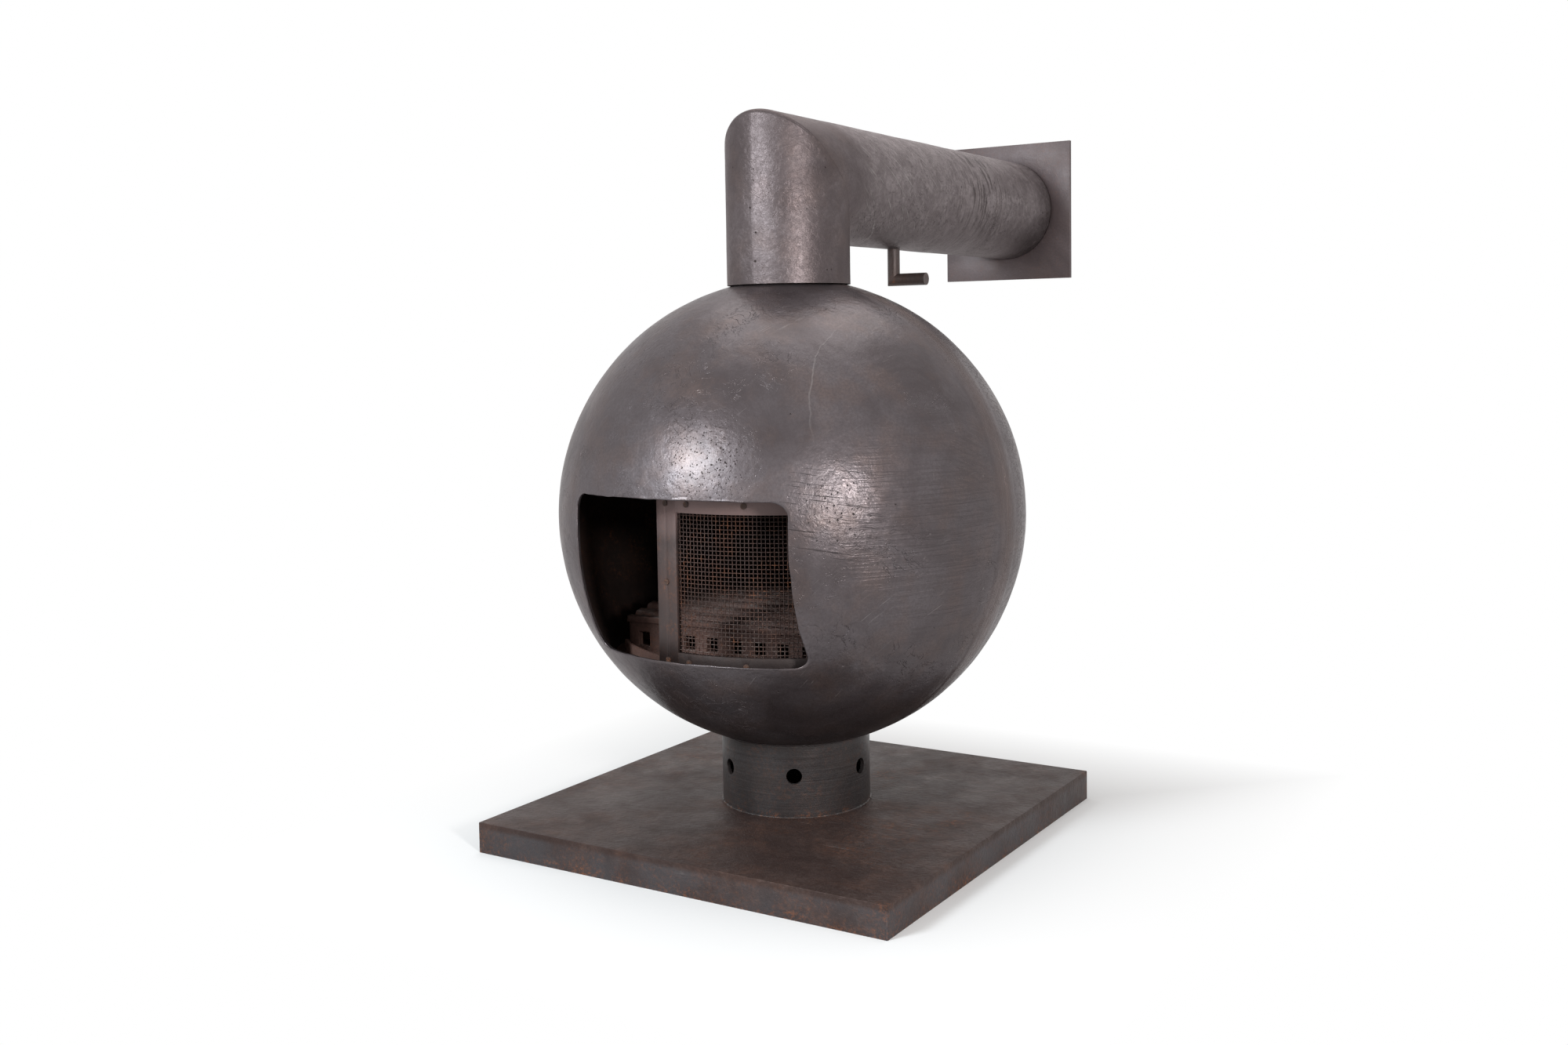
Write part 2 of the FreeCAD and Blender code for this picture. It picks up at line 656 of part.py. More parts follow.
def damper_bolt_holes():
    radius = DAMPER_BOLT_DIAMETER / 2 + DAMPER_BOLT_CLEARANCE
    front_y = DAMPER_STATION - spindle_radius - DISC_THICKNESS - OVERRUN
    end_y = DAMPER_STATION - spindle_radius + DAMPER_BOLT_GRIP
    return [rod(radius, V(0, front_y, z), V(0, end_y, z)) for z in damper_bolt_heights()]


def make_damper():
    axis_low = V(0, DAMPER_STATION, handle_z - spindle_radius)
    spindle = rod(spindle_radius, axis_low, V(0, DAMPER_STATION, spindle_top_z))
    handle_foot = V(-spindle_radius, DAMPER_STATION, handle_z)
    handle = rod(spindle_radius, handle_foot, V(HANDLE_REACH, DAMPER_STATION, handle_z))
    reach = HANDLE_REACH + HANDLE_DROP + flue_radius
    outside = block(0, reach, -reach, reach, -reach, reach)
    outside.rotate(V(0, 0, 0), V(0, 1, 0), 45)
    outside.translate(V(0, DAMPER_STATION, handle_z))
    save("damper_handle", handle.common(outside))
    save("damper_spindle", drilled(spindle.cut(outside), damper_bolt_holes()))

    disc_back = V(0, DAMPER_STATION - spindle_radius, flue_z)
    disc = rod(disc_radius, disc_back - V(0, DISC_THICKNESS, 0), disc_back)
    notch_radius = bush_radius + BUSH_NOTCH_GAP
    low = V(0, DAMPER_STATION, flue_z - flue_radius)
    high = V(0, DAMPER_STATION, flue_z + flue_radius)
    lower_notch = rod(notch_radius, low, V(0, DAMPER_STATION, retainer_top_z + BUSH_NOTCH_GAP))
    upper_notch = rod(notch_radius, V(0, DAMPER_STATION, socket_bottom_z - BUSH_NOTCH_GAP), high)
    save("damper_disc", drilled(disc, damper_bolt_holes() + [lower_notch, upper_notch]))

    retainer_low = V(0, DAMPER_STATION, retainer_bottom_z)
    retainer_high = V(0, DAMPER_STATION, retainer_top_z)
    retainer = tube(spindle_radius + RETAINER_WIDTH, spindle_radius, retainer_low, retainer_high)
    save("damper_retainer", retainer)

    bolts = []
    for z in damper_bolt_heights():
        seat = V(0, DAMPER_STATION - spindle_radius - DISC_THICKNESS, z)
        shank = rod(DAMPER_BOLT_DIAMETER / 2, seat, seat + V(0, DISC_THICKNESS + DAMPER_BOLT_GRIP, 0))
        corner_radius = DAMPER_BOLT_HEAD_WIDTH / math.sqrt(3)
        corners = []
        for index in range(6):
            turn = math.radians(60 * index)
            corners.append(seat + V(corner_radius * math.cos(turn), 0, corner_radius * math.sin(turn)))
        hexagon = Part.Face(Part.makePolygon(corners + corners[:1]))
        bolts.append(shank.fuse(hexagon.extrude(V(0, -DAMPER_BOLT_HEAD_HEIGHT, 0))))
    save("damper_bolts", Part.makeCompound(bolts))


os.makedirs("parts", exist_ok=True)
make_hearth()
make_collar()
make_ball()
make_fire_floor()
make_track()
make_guide()
make_screen_frame()
make_mesh()
make_screws()
make_shoes()
make_grate_frame()
make_fire_bars()
make_flue()
make_wall_plate()
make_damper_bushes()
make_damper()
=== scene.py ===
import json
import math
from collections import namedtuple
from functools import cached_property

import bmesh
import bpy
from mathutils import Matrix, Vector, noise

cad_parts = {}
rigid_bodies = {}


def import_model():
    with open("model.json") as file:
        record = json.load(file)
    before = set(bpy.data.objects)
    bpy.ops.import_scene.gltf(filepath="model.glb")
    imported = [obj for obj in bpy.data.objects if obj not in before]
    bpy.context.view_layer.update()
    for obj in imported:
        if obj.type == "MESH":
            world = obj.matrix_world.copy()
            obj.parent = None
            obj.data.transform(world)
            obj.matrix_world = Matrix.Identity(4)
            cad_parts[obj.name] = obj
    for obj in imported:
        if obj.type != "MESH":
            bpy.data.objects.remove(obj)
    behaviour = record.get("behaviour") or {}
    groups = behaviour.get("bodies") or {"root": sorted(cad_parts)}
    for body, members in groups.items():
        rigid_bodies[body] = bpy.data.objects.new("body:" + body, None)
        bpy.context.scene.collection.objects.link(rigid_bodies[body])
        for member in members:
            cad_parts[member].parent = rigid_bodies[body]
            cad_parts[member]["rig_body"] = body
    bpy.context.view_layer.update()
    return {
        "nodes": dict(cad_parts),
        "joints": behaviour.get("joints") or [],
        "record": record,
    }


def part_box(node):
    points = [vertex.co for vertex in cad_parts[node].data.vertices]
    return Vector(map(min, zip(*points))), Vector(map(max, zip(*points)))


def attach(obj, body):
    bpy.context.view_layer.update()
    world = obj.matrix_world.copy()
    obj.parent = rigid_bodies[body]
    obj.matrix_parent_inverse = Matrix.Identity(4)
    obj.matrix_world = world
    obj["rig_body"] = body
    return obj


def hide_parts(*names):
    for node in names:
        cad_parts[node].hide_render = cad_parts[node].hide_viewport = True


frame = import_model()

# Metres, in the part's own frame: the fire mouth faces -Y and the flue runs along +Y.
# Angles round the upright axis are from the front, positive towards +X.
X = Vector((1, 0, 0))
Y = Vector((0, 1, 0))
Z = Vector((0, 0, 1))

Lamp = namedtuple("Lamp", "direction size power colour")
Tones = namedtuple("Tones", "dark pale warm")
Patch = namedtuple("Patch", "centre full fade")
Ripple = namedtuple("Ripple", "waves detail roughness warp", defaults=(3.0, 0.55, 0.0))
Pattern = namedtuple("Pattern", "ripple low high")
Marks = namedtuple("Marks", "axes low high")
Pits = namedtuple("Pits", "waves radius_share keep_share")

# Camera
CAMERA_PLACE = Vector((1.31205, -2.11388, 0.79639))
CAMERA_TURN = math.radians(31.827)
CAMERA_PITCH = math.radians(-3.990)
CAMERA_ROLL = math.radians(-0.889)
CAMERA_SENSOR = 36.0
CAMERA_LENS = 35.388
CAMERA_SHIFT = (-0.00474, -0.04843)

# Studio, with the lamps' directions in the camera's axes
LAMPS = {
    "key": Lamp(Vector((-0.67, 0.36, 0.65)), 0.62, 56.0, (0.89, 0.96, 1.0)),
    "fill": Lamp(Vector((0.35, 0.11, 0.93)), 0.26, 42.0, (1.0, 0.97, 0.95)),
    "top": Lamp(Vector((0.02, 0.95, -0.20)), 2.2, 37.0, (1.0, 0.98, 0.96)),
}
LAMP_DISTANCE = 2.6
WORLD_FILL = 0.36
FLOOR_HALF_SIDE = 9.0
FLOOR_GREY = 0.6
FLOOR_PALE = 0.82
FLOOR_WHITE_SHARE = 0.06
FLOOR_FADE = 0.36

# Finish colours in linear light: dark, pale and warm tones of each piece
BALL_TONES = Tones((0.064, 0.0525, 0.0545), (0.112, 0.098, 0.104), (0.118, 0.080, 0.068))
FLUE_TONES = Tones((0.076, 0.061, 0.062), (0.178, 0.152, 0.157), (0.148, 0.104, 0.090))
HEARTH_TONES = Tones((0.028, 0.0172, 0.0152), (0.064, 0.044, 0.039), (0.086, 0.046, 0.034))
COLLAR_TONES = Tones((0.026, 0.0215, 0.0215), (0.046, 0.0415, 0.0425), (0.049, 0.034, 0.029))
PLATE_TONES = Tones((0.080, 0.061, 0.063), (0.133, 0.106, 0.110), (0.122, 0.084, 0.076))
SOOT_TONES = Tones((0.0105, 0.0056, 0.0050), (0.022, 0.0118, 0.0098), (0.044, 0.0195, 0.0122))
WIRE_TONES = Tones((0.031, 0.0180, 0.0155), (0.062, 0.038, 0.033), (0.100, 0.038, 0.021))
SCREEN_TONES = Tones((0.045, 0.032, 0.030), (0.078, 0.059, 0.057), (0.095, 0.053, 0.044))
SCREW_TONES = Tones((0.048, 0.031, 0.026), (0.092, 0.064, 0.055), (0.105, 0.053, 0.034))
FIREBOX_TONES = Tones((0.075, 0.043, 0.036), (0.155, 0.096, 0.082), (0.165, 0.080, 0.057))
GRATE_TONES = Tones((0.064, 0.036, 0.031), (0.128, 0.078, 0.067), (0.135, 0.064, 0.045))
ROD_TONES = Tones((0.052, 0.039, 0.037), (0.105, 0.082, 0.079), (0.115, 0.070, 0.056))
RUST = (0.31, 0.108, 0.040)
# Pale dust colour over the flue's run, which is also painted light: it lifts the whole run towards the
# brightness that light from above gives it
RUN_DUST_AND_PAINTED_LIGHT = (0.305, 0.268, 0.272)
BRIGHT_STEEL = (0.30, 0.275, 0.27)
# Painted light: the paler colour of the screen's top rail, where light falls in at the mouth's top
PAINTED_LIGHT_STEEL = (0.222, 0.152, 0.145)
# Pale ash on up-facing faces low down, which also paints the glint along the grate's and the mesh's top
# edges
ASH_AND_GLINT = (0.32, 0.295, 0.28)
BLUE_SCALE = (0.056, 0.055, 0.060)
PIT_DARK = (0.016, 0.011, 0.010)
ROPE_DARK = (0.05, 0.046, 0.042)
ROPE_PALE = (0.16, 0.15, 0.14)
BALL_EDGE_TINT = (0.58, 0.53, 0.53)
FLUE_EDGE_TINT = (0.62, 0.57, 0.57)
HEARTH_EDGE_TINT = (1.0, 0.86, 0.83)

# Smooth ripples that cover a surface: waves in a metre, detail, roughness and warp
BALL_BEATING = Ripple(60.0)
HEARTH_BEATING = Ripple(30.0)
PLAIN_BEATING = Ripple(60.0, 4.0, 0.60)
BALL_GRAIN = Ripple(330.0, 5.0, 0.68)
HEARTH_GRAIN = Ripple(360.0, 4.0, 0.70)
PLAIN_GRAIN = Ripple(330.0, 4.0, 0.70)
BALL_WRINKLES = Ripple(125.0, 4.0, 0.60, 0.5)
FLUE_MOTTLE = Ripple(150.0, 3.0, 0.55, 0.3)
BALL_CREASES = Ripple(30.0, 4.0, 0.60, 0.9)
RUN_CREASES = Ripple(48.0, 4.0, 0.60, 0.9)
MARK_RIPPLE = Ripple(1.0, 3.0, 0.60)

# Patches made from ripples, with the values between which they grow from none to full
CLOUDS = Pattern(Ripple(7.0, 5.0, 0.60, 0.6), 0.36, 0.66)
WARM_DRIFT = Pattern(Ripple(15.0, 4.0, 0.62), 0.46, 0.70)
SPECKLE = Pattern(Ripple(260.0, 4.0, 0.75), 0.38, 0.62)
GLOSS_PATCHES = Pattern(Ripple(11.0, 5.0, 0.65), 0.34, 0.68)
RUST_GRAIN = Pattern(Ripple(160.0, 4.0, 0.75), 0.48, 0.64)
RUST_PATCHES = Pattern(Ripple(22.0, 4.0, 0.70), 0.40, 0.64)
PLAIN_RUST = Pattern(Ripple(18.0, 4.0, 0.60), 0.40, 0.66)
SPARSE_RUST = Pattern(Ripple(6.0), 0.54, 0.72)
SCRATCHED = Pattern(Ripple(8.0, 2.0), 0.48, 0.60)
BALL_CREASED = Pattern(Ripple(6.0, 2.0), 0.50, 0.62)
RUN_CREASED = Pattern(Ripple(9.0, 2.0), 0.40, 0.56)
SCAR_BENDS = Pattern(Ripple(24.0), 0.3, 0.7)
SMUDGES = Pattern(Ripple(36.0, 5.0, 0.65, 0.8), 0.42, 0.60)
FLUE_FLAKES = Pattern(Ripple(95.0, 5.0, 0.70, 1.2), 0.40, 0.62)
HEARTH_FLAKES = Pattern(Ripple(120.0, 5.0, 0.70, 0.8), 0.40, 0.62)
HEARTH_MOTTLE = Pattern(Ripple(48.0, 5.0, 0.70, 0.6), 0.43, 0.58)
BLUE_PATCHES = Pattern(Ripple(9.0), 0.34, 0.58)
ASH_AND_GLINT_PATCHES = Pattern(Ripple(70.0, 5.0, 0.70), 0.46, 0.66)
TURNED_ROWS = Pattern(Ripple(1.0), 0.40, 0.62)
ROPE_TWIST = Pattern(Ripple(1.0, 2.0, 0.50), 0.35, 0.65)

# Pits: cells in a metre, a pit's radius as a share of its cell, and the share of the cells that have one
CROWN_PITS = Pits(200.0, 0.26, 0.42)
FINE_CROWN_PITS = Pits(320.0, 0.30, 0.40)
CUT_PITS = Pits(170.0, 0.26, 0.40)
LEFT_PITS = Pits(110.0, 0.22, 0.30)
STRAY_PITS = Pits(60.0, 0.09, 0.20)
DINGS = Pits(17.0, 0.055, 0.30)
FLUE_PITS = Pits(110.0, 0.24, 0.16)
WIDE_FLUE_PITS = Pits(48.0, 0.13, 0.22)
HEARTH_PITS = Pits(120.0, 0.26, 0.20)
PIT_FLOOR_SHARE = 0.3

# Line marks: three directions with a mark's length along each, and the values between which they grow
CUTS = Marks((
    (Vector((0.74, 0.65, -0.15)), 0.110),
    (Vector((0.11, 0.10, 0.99)), 0.0022),
    (Vector((0.66, -0.75, 0.0)), 0.080),
), 0.63, 0.67)
GROUND_LINES = Marks(((X, 0.120), (Y, 0.120), (Z, 0.0040)), 0.46, 0.60)
SLANTED_LINES = Marks((
    (X, 0.120),
    (Vector((0.22, 0.90, -0.36)), 0.080),
    (Vector((0.08, 0.35, 0.93)), 0.0040),
), 0.46, 0.60)
BRUSHED_LINES = Marks(((X, 0.040), (Y, 0.0030), (Z, 0.120)), 0.44, 0.60)
CHATTER = Marks(((X, 0.0060), (Y, 0.040), (Z, 0.0060)), 0.47, 0.61)
SCRATCHES = Marks(((X + Z, 0.090), (X - Z, 0.0022), (Y, 0.060)), 0.66, 0.70)
RUN_WRINKLES = Marks(((X, 0.050), (Y, 0.0075), (Z, 0.060)), 0.53, 0.60)
RUN_SCORES = Marks((
    (Vector((0.0, 0.80, -0.60)), 0.060),
    (Vector((0.0, 0.60, 0.80)), 0.0030),
    (X, 0.060),
), 0.585, 0.645)
HEARTH_SCRATCHES = Marks(((X, 0.070), (Y, 0.0020), (Z, 0.020)), 0.62, 0.68)
TURNED_AXES = ((X, 0.2), (Y, 0.2), (Z, 0.0045))
ROPE_AXES = ((X + Z, 0.016), (Y, 0.011), (Z - X, 0.002))

# Worn places on the ball and the flue: full within one distance of the centre, gone at another
PIT_PATCH = Patch(Vector((0.078, -0.354, 0.622)), 0.030, 0.090)
CUT_PATCH = Patch(Vector((0.244, -0.282, 0.556)), 0.025, 0.085)
LEFT_PATCH = Patch(Vector((-0.110, -0.235, 0.785)), 0.040, 0.110)
GROUND_PATCH = Patch(Vector((0.356, -0.110, 0.525)), 0.060, 0.210)
SLANT_PATCH = Patch(Vector((0.350, -0.070, 0.610)), 0.030, 0.090)
WRINKLE_PATCH = Patch(Vector((0.09, 0.535, 1.093)), 0.050, 0.150)
ELBOW_PATCH = Patch(Vector((0.09, 0.12, 1.10)), 0.090, 0.330)
SEAM_MIDDLE = 0.010
SEAM_BAND = 0.033
GROUND_STOP_SHARES = (0.5, 1.3)
CHATTER_MIDDLE = 0.085
CHATTER_BAND = 0.055
SCAR_NORMAL = Vector((0.8922, -0.2442, 0.3799))
SCAR_OFFSET = 0.5032
SCAR_WIDTH = 0.0010
SCAR_WANDER = 0.0015
SCAR_Z = 0.735
SCAR_HALF_HEIGHT = 0.090
SCAR_FADE = 0.05
CREASE_LEVEL = 0.5
BALL_CREASE_SPREAD = 0.010
RUN_CREASE_SPREAD = 0.016

# Dust, soot, ash and rust, with painted light and shade: the run's dust also paints light on it, with
# painted shade under it and a painted gap shadow at its end; the screen's top rail is painted lighter; the
# ash also paints glints on up-facing faces
RUN_START_SHARES = (0.6, 1.4)
RUN_DUST_AND_PAINTED_LIGHT_SHARE = 0.75
# Painted shade on the underside of the flue's run: how far down it starts and how dark it gets
RUN_UNDER_SHADE_REACH_SHARE = 0.8
RUN_UNDER_SHADE_SHARE = 0.75
RISER_MOTTLE_SHARE = 0.40
SMUDGE_SHARE = 0.45
# Painted shadow of the gap where the run meets the wall plate: the width of the dark band at the run's end,
# and how far it fades
END_GAP_SHADE = 0.0024
END_GAP_SHADE_FADE_SHARE = 1.4
RUST_REACH = 0.024
EDGE_RUST_SHARE = 0.7
RIM_RUST_SHARE = 0.2
SPARSE_RUST_SHARE = 0.35
COLLAR_RUST_SHARES = (0.10, 0.5)
BLUE_SHARES = (0.10, 0.65)
HEARTH_MOTTLE_SHARE = 0.55
HEARTH_WARM_SHARE = 0.65
WARM_SHARE = 0.5
SPECKLE_SHARE = 0.55
TURNED_SHARE = 0.16
SCREEN_SOOT_RISE = 0.020
SOOT_FADE = 0.030
SOOT_SHARE = 0.85
# Ash with painted glint on up-facing faces: how high it reaches, how it fades, how strong it is and on
# which slopes
SCREEN_ASH_AND_GLINT_RISE = 0.075
ASH_AND_GLINT_FADE = 0.050
ASH_AND_GLINT_SHARE = 0.4
ASH_AND_GLINT_SLOPES = (0.1, 0.8)
# Painted light on the screen's top rail: how far down it fades and how strong it is
PAINTED_LIGHT_FADE = 0.045
PAINTED_LIGHT_SHARE = 0.7

# Relief of the finishes, raised where positive and sunk where negative
BALL_RELIEF = {
    "beating": 0.0008,
    "ground": 0.0007,
    "brushed": 0.0006,
    "chatter": -0.0016,
    "wrinkles": 0.0011,
    "weld_scar": 0.0005,
    "dings": -0.0012,
    "creases": -0.0006,
    "pits": -0.0010,
    "grain": 0.00018,
}
FLUE_RELIEF = {
    "mottle": 0.00065,
    "flakes": 0.00018,
    "wrinkles": -0.0017,
    "creases": -0.0008,
    "scores": 0.0010,
    "pits": -0.0005,
    "grain": 0.00008,
}
HEARTH_RELIEF = {"beating": 0.0012, "flakes": 0.00040, "pits": -0.0006, "grain": 0.00020}
COLLAR_RELIEF = {"turned": 0.00012, "beating": 0.0006, "grain": 0.0002}
PLAIN_RELIEF = {"beating": 0.0006, "grain": 0.0002}
GRATE_RELIEF = {"beating": 0.0012, "grain": 0.0004}
ROPE_RELIEF = {"twist": 0.0012}

# Sizes that the finer meshes share with the solids
BALL_WALL = 0.006
MOUTH_WIDTH = 0.369
MOUTH_HEIGHT = 0.245
MOUTH_CORNER_RADIUS = 0.024
MOUTH_SIDE_SHIFT = 0.007
MOUTH_DROP = 0.068
AIR_INLET_RADIUS = 0.075
FLUE_WALL = 0.004
SOLID_WIRE_RADIUS = 0.0006
HEARTH_WALL = 0.006

# Hand-worked shapes
DENT_DEPTH = 0.0007
DENT_WAVES = 9.0
HAMMER_DEPTH = 0.00018
HAMMER_WAVES = 42.0
PIPE_MOTTLE_DEPTH = 0.00008
PIPE_MOTTLE_WAVES = 130.0
MOUTH_WANDER = 0.0022
MOUTH_WANDER_WAVES = 13.0
MOUTH_RIPPLE = 0.0008
MOUTH_RIPPLE_WAVES = 55.0
LIP_RADIUS = 0.0016
LIP_SHARES = (0.0, 0.08, 0.25, 0.5, 0.75)
SEAM_RISE = 0.0007
SEAM_FLANK = 0.009
MITRE_ROUND = 0.009
MITRE_TRIM_SHARE = 1 - math.sqrt(0.5)
SEAM_RIDGE = 0.0011
SEAM_RIDGE_ANGLE = math.radians(-2.0)
SEAM_RIDGE_FADE = math.radians(7.0)
PIPE_END_CALM = 0.012
COLLAR_FOOT_BEAD = 0.0022
COLLAR_FOOT_LUMP_SHARE = 0.7
COLLAR_TOP_BEAD = 0.0016
COLLAR_TOP_LUMP_SHARE = 0.4
MITRE_BEAD = 0.0014
MITRE_BEAD_SINK = 0.0010
MITRE_LUMP_SHARE = 0.3
BEAD_LUMP_WAVES = 160.0
BEAD_SWELL_WAVES = 45.0
BEAD_REFERENCE = Vector((0.31, 0.27, 0.91))
MESH_WIRE_RADIUS = 0.00075
MESH_WEAVE = 0.0006
MESH_INSET_SHARE = 2.1
SCREEN_EDGE = 0.0006
GRATE_EDGE = 0.0015
PLATE_EDGE = 0.0008
HEARTH_EDGE = 0.0014
EDGE_ROUNDNESS = 0.5

# Mesh counts and limits
BALL_SPOKES = 400
BALL_RINGS = 128
BALL_INNER_RINGS = 24
PIPE_SIDES = 224
PIPE_ROW_STEP = 0.0034
MITRE_ROWS = 7
BEAD_SIDES = 10
BEAD_STEPS = 420
WIRE_SIDES = 6
WIRE_STEPS_PER_PITCH = 4
EDGE_SEGMENTS = 2
HEARTH_EDGE_SEGMENTS = 3
RIM_SEARCH_START = 0.3
RIM_SEARCH_STEP = 0.02
SEARCH_ROUNDS = 24
POLE_CAP_ARC = 0.03
MERGE_DISTANCE = 1e-5
FLAT_LIMIT = math.radians(0.6)
EASED_LIMIT = math.radians(40)
SKIN_SMOOTH_LIMIT = math.radians(40)
PIECE_SMOOTH_LIMIT = math.radians(35)

ball_low, ball_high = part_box("rear_hemisphere")
ball_radius = (ball_high.x - ball_low.x) / 2
ball_centre = Vector(frame["joints"][0]["pos_m"])
riser_low, riser_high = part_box("flue_riser")
run_low, run_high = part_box("flue_run")
flue_radius = (riser_high.x - riser_low.x) / 2
flue_z = (run_low.z + run_high.z) / 2
spigot_low, spigot_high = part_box("flue_spigot")
outlet_radius = (spigot_high.x - spigot_low.x) / 2
collar_low, collar_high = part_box("pedestal_collar")
collar_radius = (collar_high.x - collar_low.x) / 2
hearth_low, hearth_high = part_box("hearth_top_plate")
screen_soot_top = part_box("screen_bottom_rail")[1].z + SCREEN_SOOT_RISE
# Height below which the mesh has ash that also paints glints on up-facing faces
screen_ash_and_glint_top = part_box("screen_bottom_rail")[1].z + SCREEN_ASH_AND_GLINT_RISE
# Height from which the screen's top rail is painted lighter, as painted light
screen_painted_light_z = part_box("screen_top_rail")[0].z
# Height below which the grate has ash that also paints glints on up-facing faces
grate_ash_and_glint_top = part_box("fire_bar_5")[1].z + ASH_AND_GLINT_FADE


def polar(radius, angle, z):
    """Point at an angle round the upright axis."""
    return Vector((radius * math.sin(angle), -radius * math.cos(angle), z))


def dents(point):
    """Height of the beaten surface at a point."""
    broad = noise.noise(point * DENT_WAVES)
    fine = noise.noise(point * HAMMER_WAVES)
    return DENT_DEPTH * broad + HAMMER_DEPTH * fine


# Node trees

class Nodes:
    """Short calls that add nodes to one tree, measured in metres in the part's frame."""

    def __init__(self, tree):
        self.tree = tree

    @cached_property
    def place(self):
        return self.add("TexCoord").outputs["Object"]

    def add(self, kind, **values):
        node = self.tree.nodes.new("ShaderNode" + kind)
        self.set(node, **values)
        return node

    def set(self, node, **values):
        for name, value in values.items():
            self.feed(node.inputs[name.replace("_", " ")], value)

    def feed(self, socket, value):
        if isinstance(value, bpy.types.NodeSocket):
            self.tree.links.new(value, socket)
        elif isinstance(value, tuple) and socket.type == "RGBA":
            socket.default_value = (*value, 1.0)
        else:
            socket.default_value = value

    def show(self, node):
        """Make a node the tree's surface."""
        self.add("OutputMaterial", Surface=node.outputs[0])

    def place_math(self, operation, other):
        node = self.add("VectorMath")
        node.operation = operation
        self.feed(node.inputs[0], self.place)
        self.feed(node.inputs[1], other)
        return node.outputs["Value"]

    def along(self, direction):
        """Distance along a direction from the origin, times the direction's length."""
        return self.place_math("DOT_PRODUCT", direction)

    def near(self, patch):
        """1 in the middle of a patch, falling to 0 at its edge."""
        return self.span(self.place_math("DISTANCE", patch.centre), patch.full, patch.fade, 1.0, 0.0)

    def facing_up(self, low, high):
        """0 where the surface's upward slope is low, 1 where it is high."""
        parts = self.add("SeparateXYZ", Vector=self.add("NewGeometry").outputs["Normal"])
        return self.span(parts.outputs["Z"], low, high)

    def stretched(self, axes):
        """Place measured along three directions, each in units of its own feature length."""
        node = self.add("CombineXYZ")
        for socket, (direction, length) in zip(node.inputs, axes):
            self.feed(socket, self.along(direction / length))
        return node.outputs[0]

    def noise(self, ripple, place=None):
        node = self.add("TexNoise", Vector=place or self.place, Scale=ripple.waves, Detail=ripple.detail)
        self.set(node, Roughness=ripple.roughness, Distortion=ripple.warp)
        return node.outputs["Fac"]

    def span(self, value, low, high, to_low=0.0, to_high=1.0):
        """Value from low to high mapped to another span, and held at its ends."""
        node = self.add("MapRange", Value=value, From_Min=low, From_Max=high, To_Min=to_low, To_Max=to_high)
        return node.outputs[0]

    def band(self, value, middle, half_width):
        """1 where a value is at a middle, falling to 0 a half width away."""
        away = self.math("ABSOLUTE", self.math("SUBTRACT", value, middle))
        return self.span(away, 0.0, half_width, 1.0, 0.0)

    def pattern(self, shape, to_low=0.0, to_high=1.0, place=None):
        return self.span(self.noise(shape.ripple, place), shape.low, shape.high, to_low, to_high)

    def marks(self, shape, where):
        """Thin marks from stretched noise, in one region of the surface."""
        mark = self.noise(MARK_RIPPLE, self.stretched(shape.axes))
        return self.product(self.span(mark, shape.low, shape.high), where)

    def pits(self, shape, where=None):
        """Scattered round pits: 1 at the bottom of a pit, 0 on the plain surface."""
        node = self.add("TexVoronoi", Vector=self.place, Scale=shape.waves)
        floor_radius = shape.radius_share * PIT_FLOOR_SHARE
        hole = self.span(node.outputs["Distance"], floor_radius, shape.radius_share, 1.0, 0.0)
        hole = self.product(hole, self.math("LESS_THAN", node.outputs["Color"], shape.keep_share))
        return hole if where is None else self.product(hole, where)

    def math(self, operation, first, second=0.0):
        node = self.add("Math")
        node.operation = operation
        self.feed(node.inputs[0], first)
        self.feed(node.inputs[1], second)
        return node.outputs[0]

    def product(self, first, *others):
        for other in others:
            first = self.math("MULTIPLY", first, other)
        return first

    def most(self, first, *others):
        for other in others:
            first = self.math("MAXIMUM", first, other)
        return first

    def mix(self, share, first, second):
        """Colour between two, by a share. The node's colour sockets are inputs 6 and 7 and output 2."""
        node = self.add("Mix")
        node.data_type = "RGBA"
        self.feed(node.inputs[0], share)
        self.feed(node.inputs[6], first)
        self.feed(node.inputs[7], second)
        return node.outputs[2]

    def layers(self, colour, *layers):
        """Colour with others laid over it, each by a share of its own mask."""
        for mask, share, over in layers:
            colour = self.mix(self.product(mask, share), colour, over)
        return colour

    def white_rays(self):
        """1 for rays that should see the white background, 0 for the rest."""
        path = self.add("LightPath")
        names = ("Is Camera Ray", "Is Glossy Ray", "Is Transmission Ray")
        return self.most(*(path.outputs[name] for name in names))


class Shader(Nodes):
    """One procedural material of the part."""

    def __init__(self, name):
        self.material = new_material(name)
        super().__init__(self.material.node_tree)
        self.surface = self.add("BsdfPrincipled")
        self.show(self.surface)
        self.normal = None

    def raise_by(self, relief, **heights):
        """Add relief to the surface, raised by a depth in metres where the height of that name is 1."""
        for name, height in heights.items():
            node = self.add("Bump", Height=height, Distance=abs(relief[name]))
            node.invert = relief[name] < 0
            if self.normal is not None:
                self.set(node, Normal=self.normal)
            self.normal = node.outputs[0]

    def finish(self, colour, rough, **values):
        """Fill the surface in, with a patchy roughness between two values."""
        gloss = self.pattern(GLOSS_PATCHES, *rough)
        self.set(self.surface, Base_Color=colour, Roughness=gloss, Normal=self.normal, **values)
        if "Coat_Weight" in values:
            self.set(self.surface, Coat_Normal=self.normal)
        return self.material


def new_material(name):
    material = bpy.data.materials.new(name)
    material.use_nodes = True
    material.node_tree.nodes.clear()
    return material


# Materials

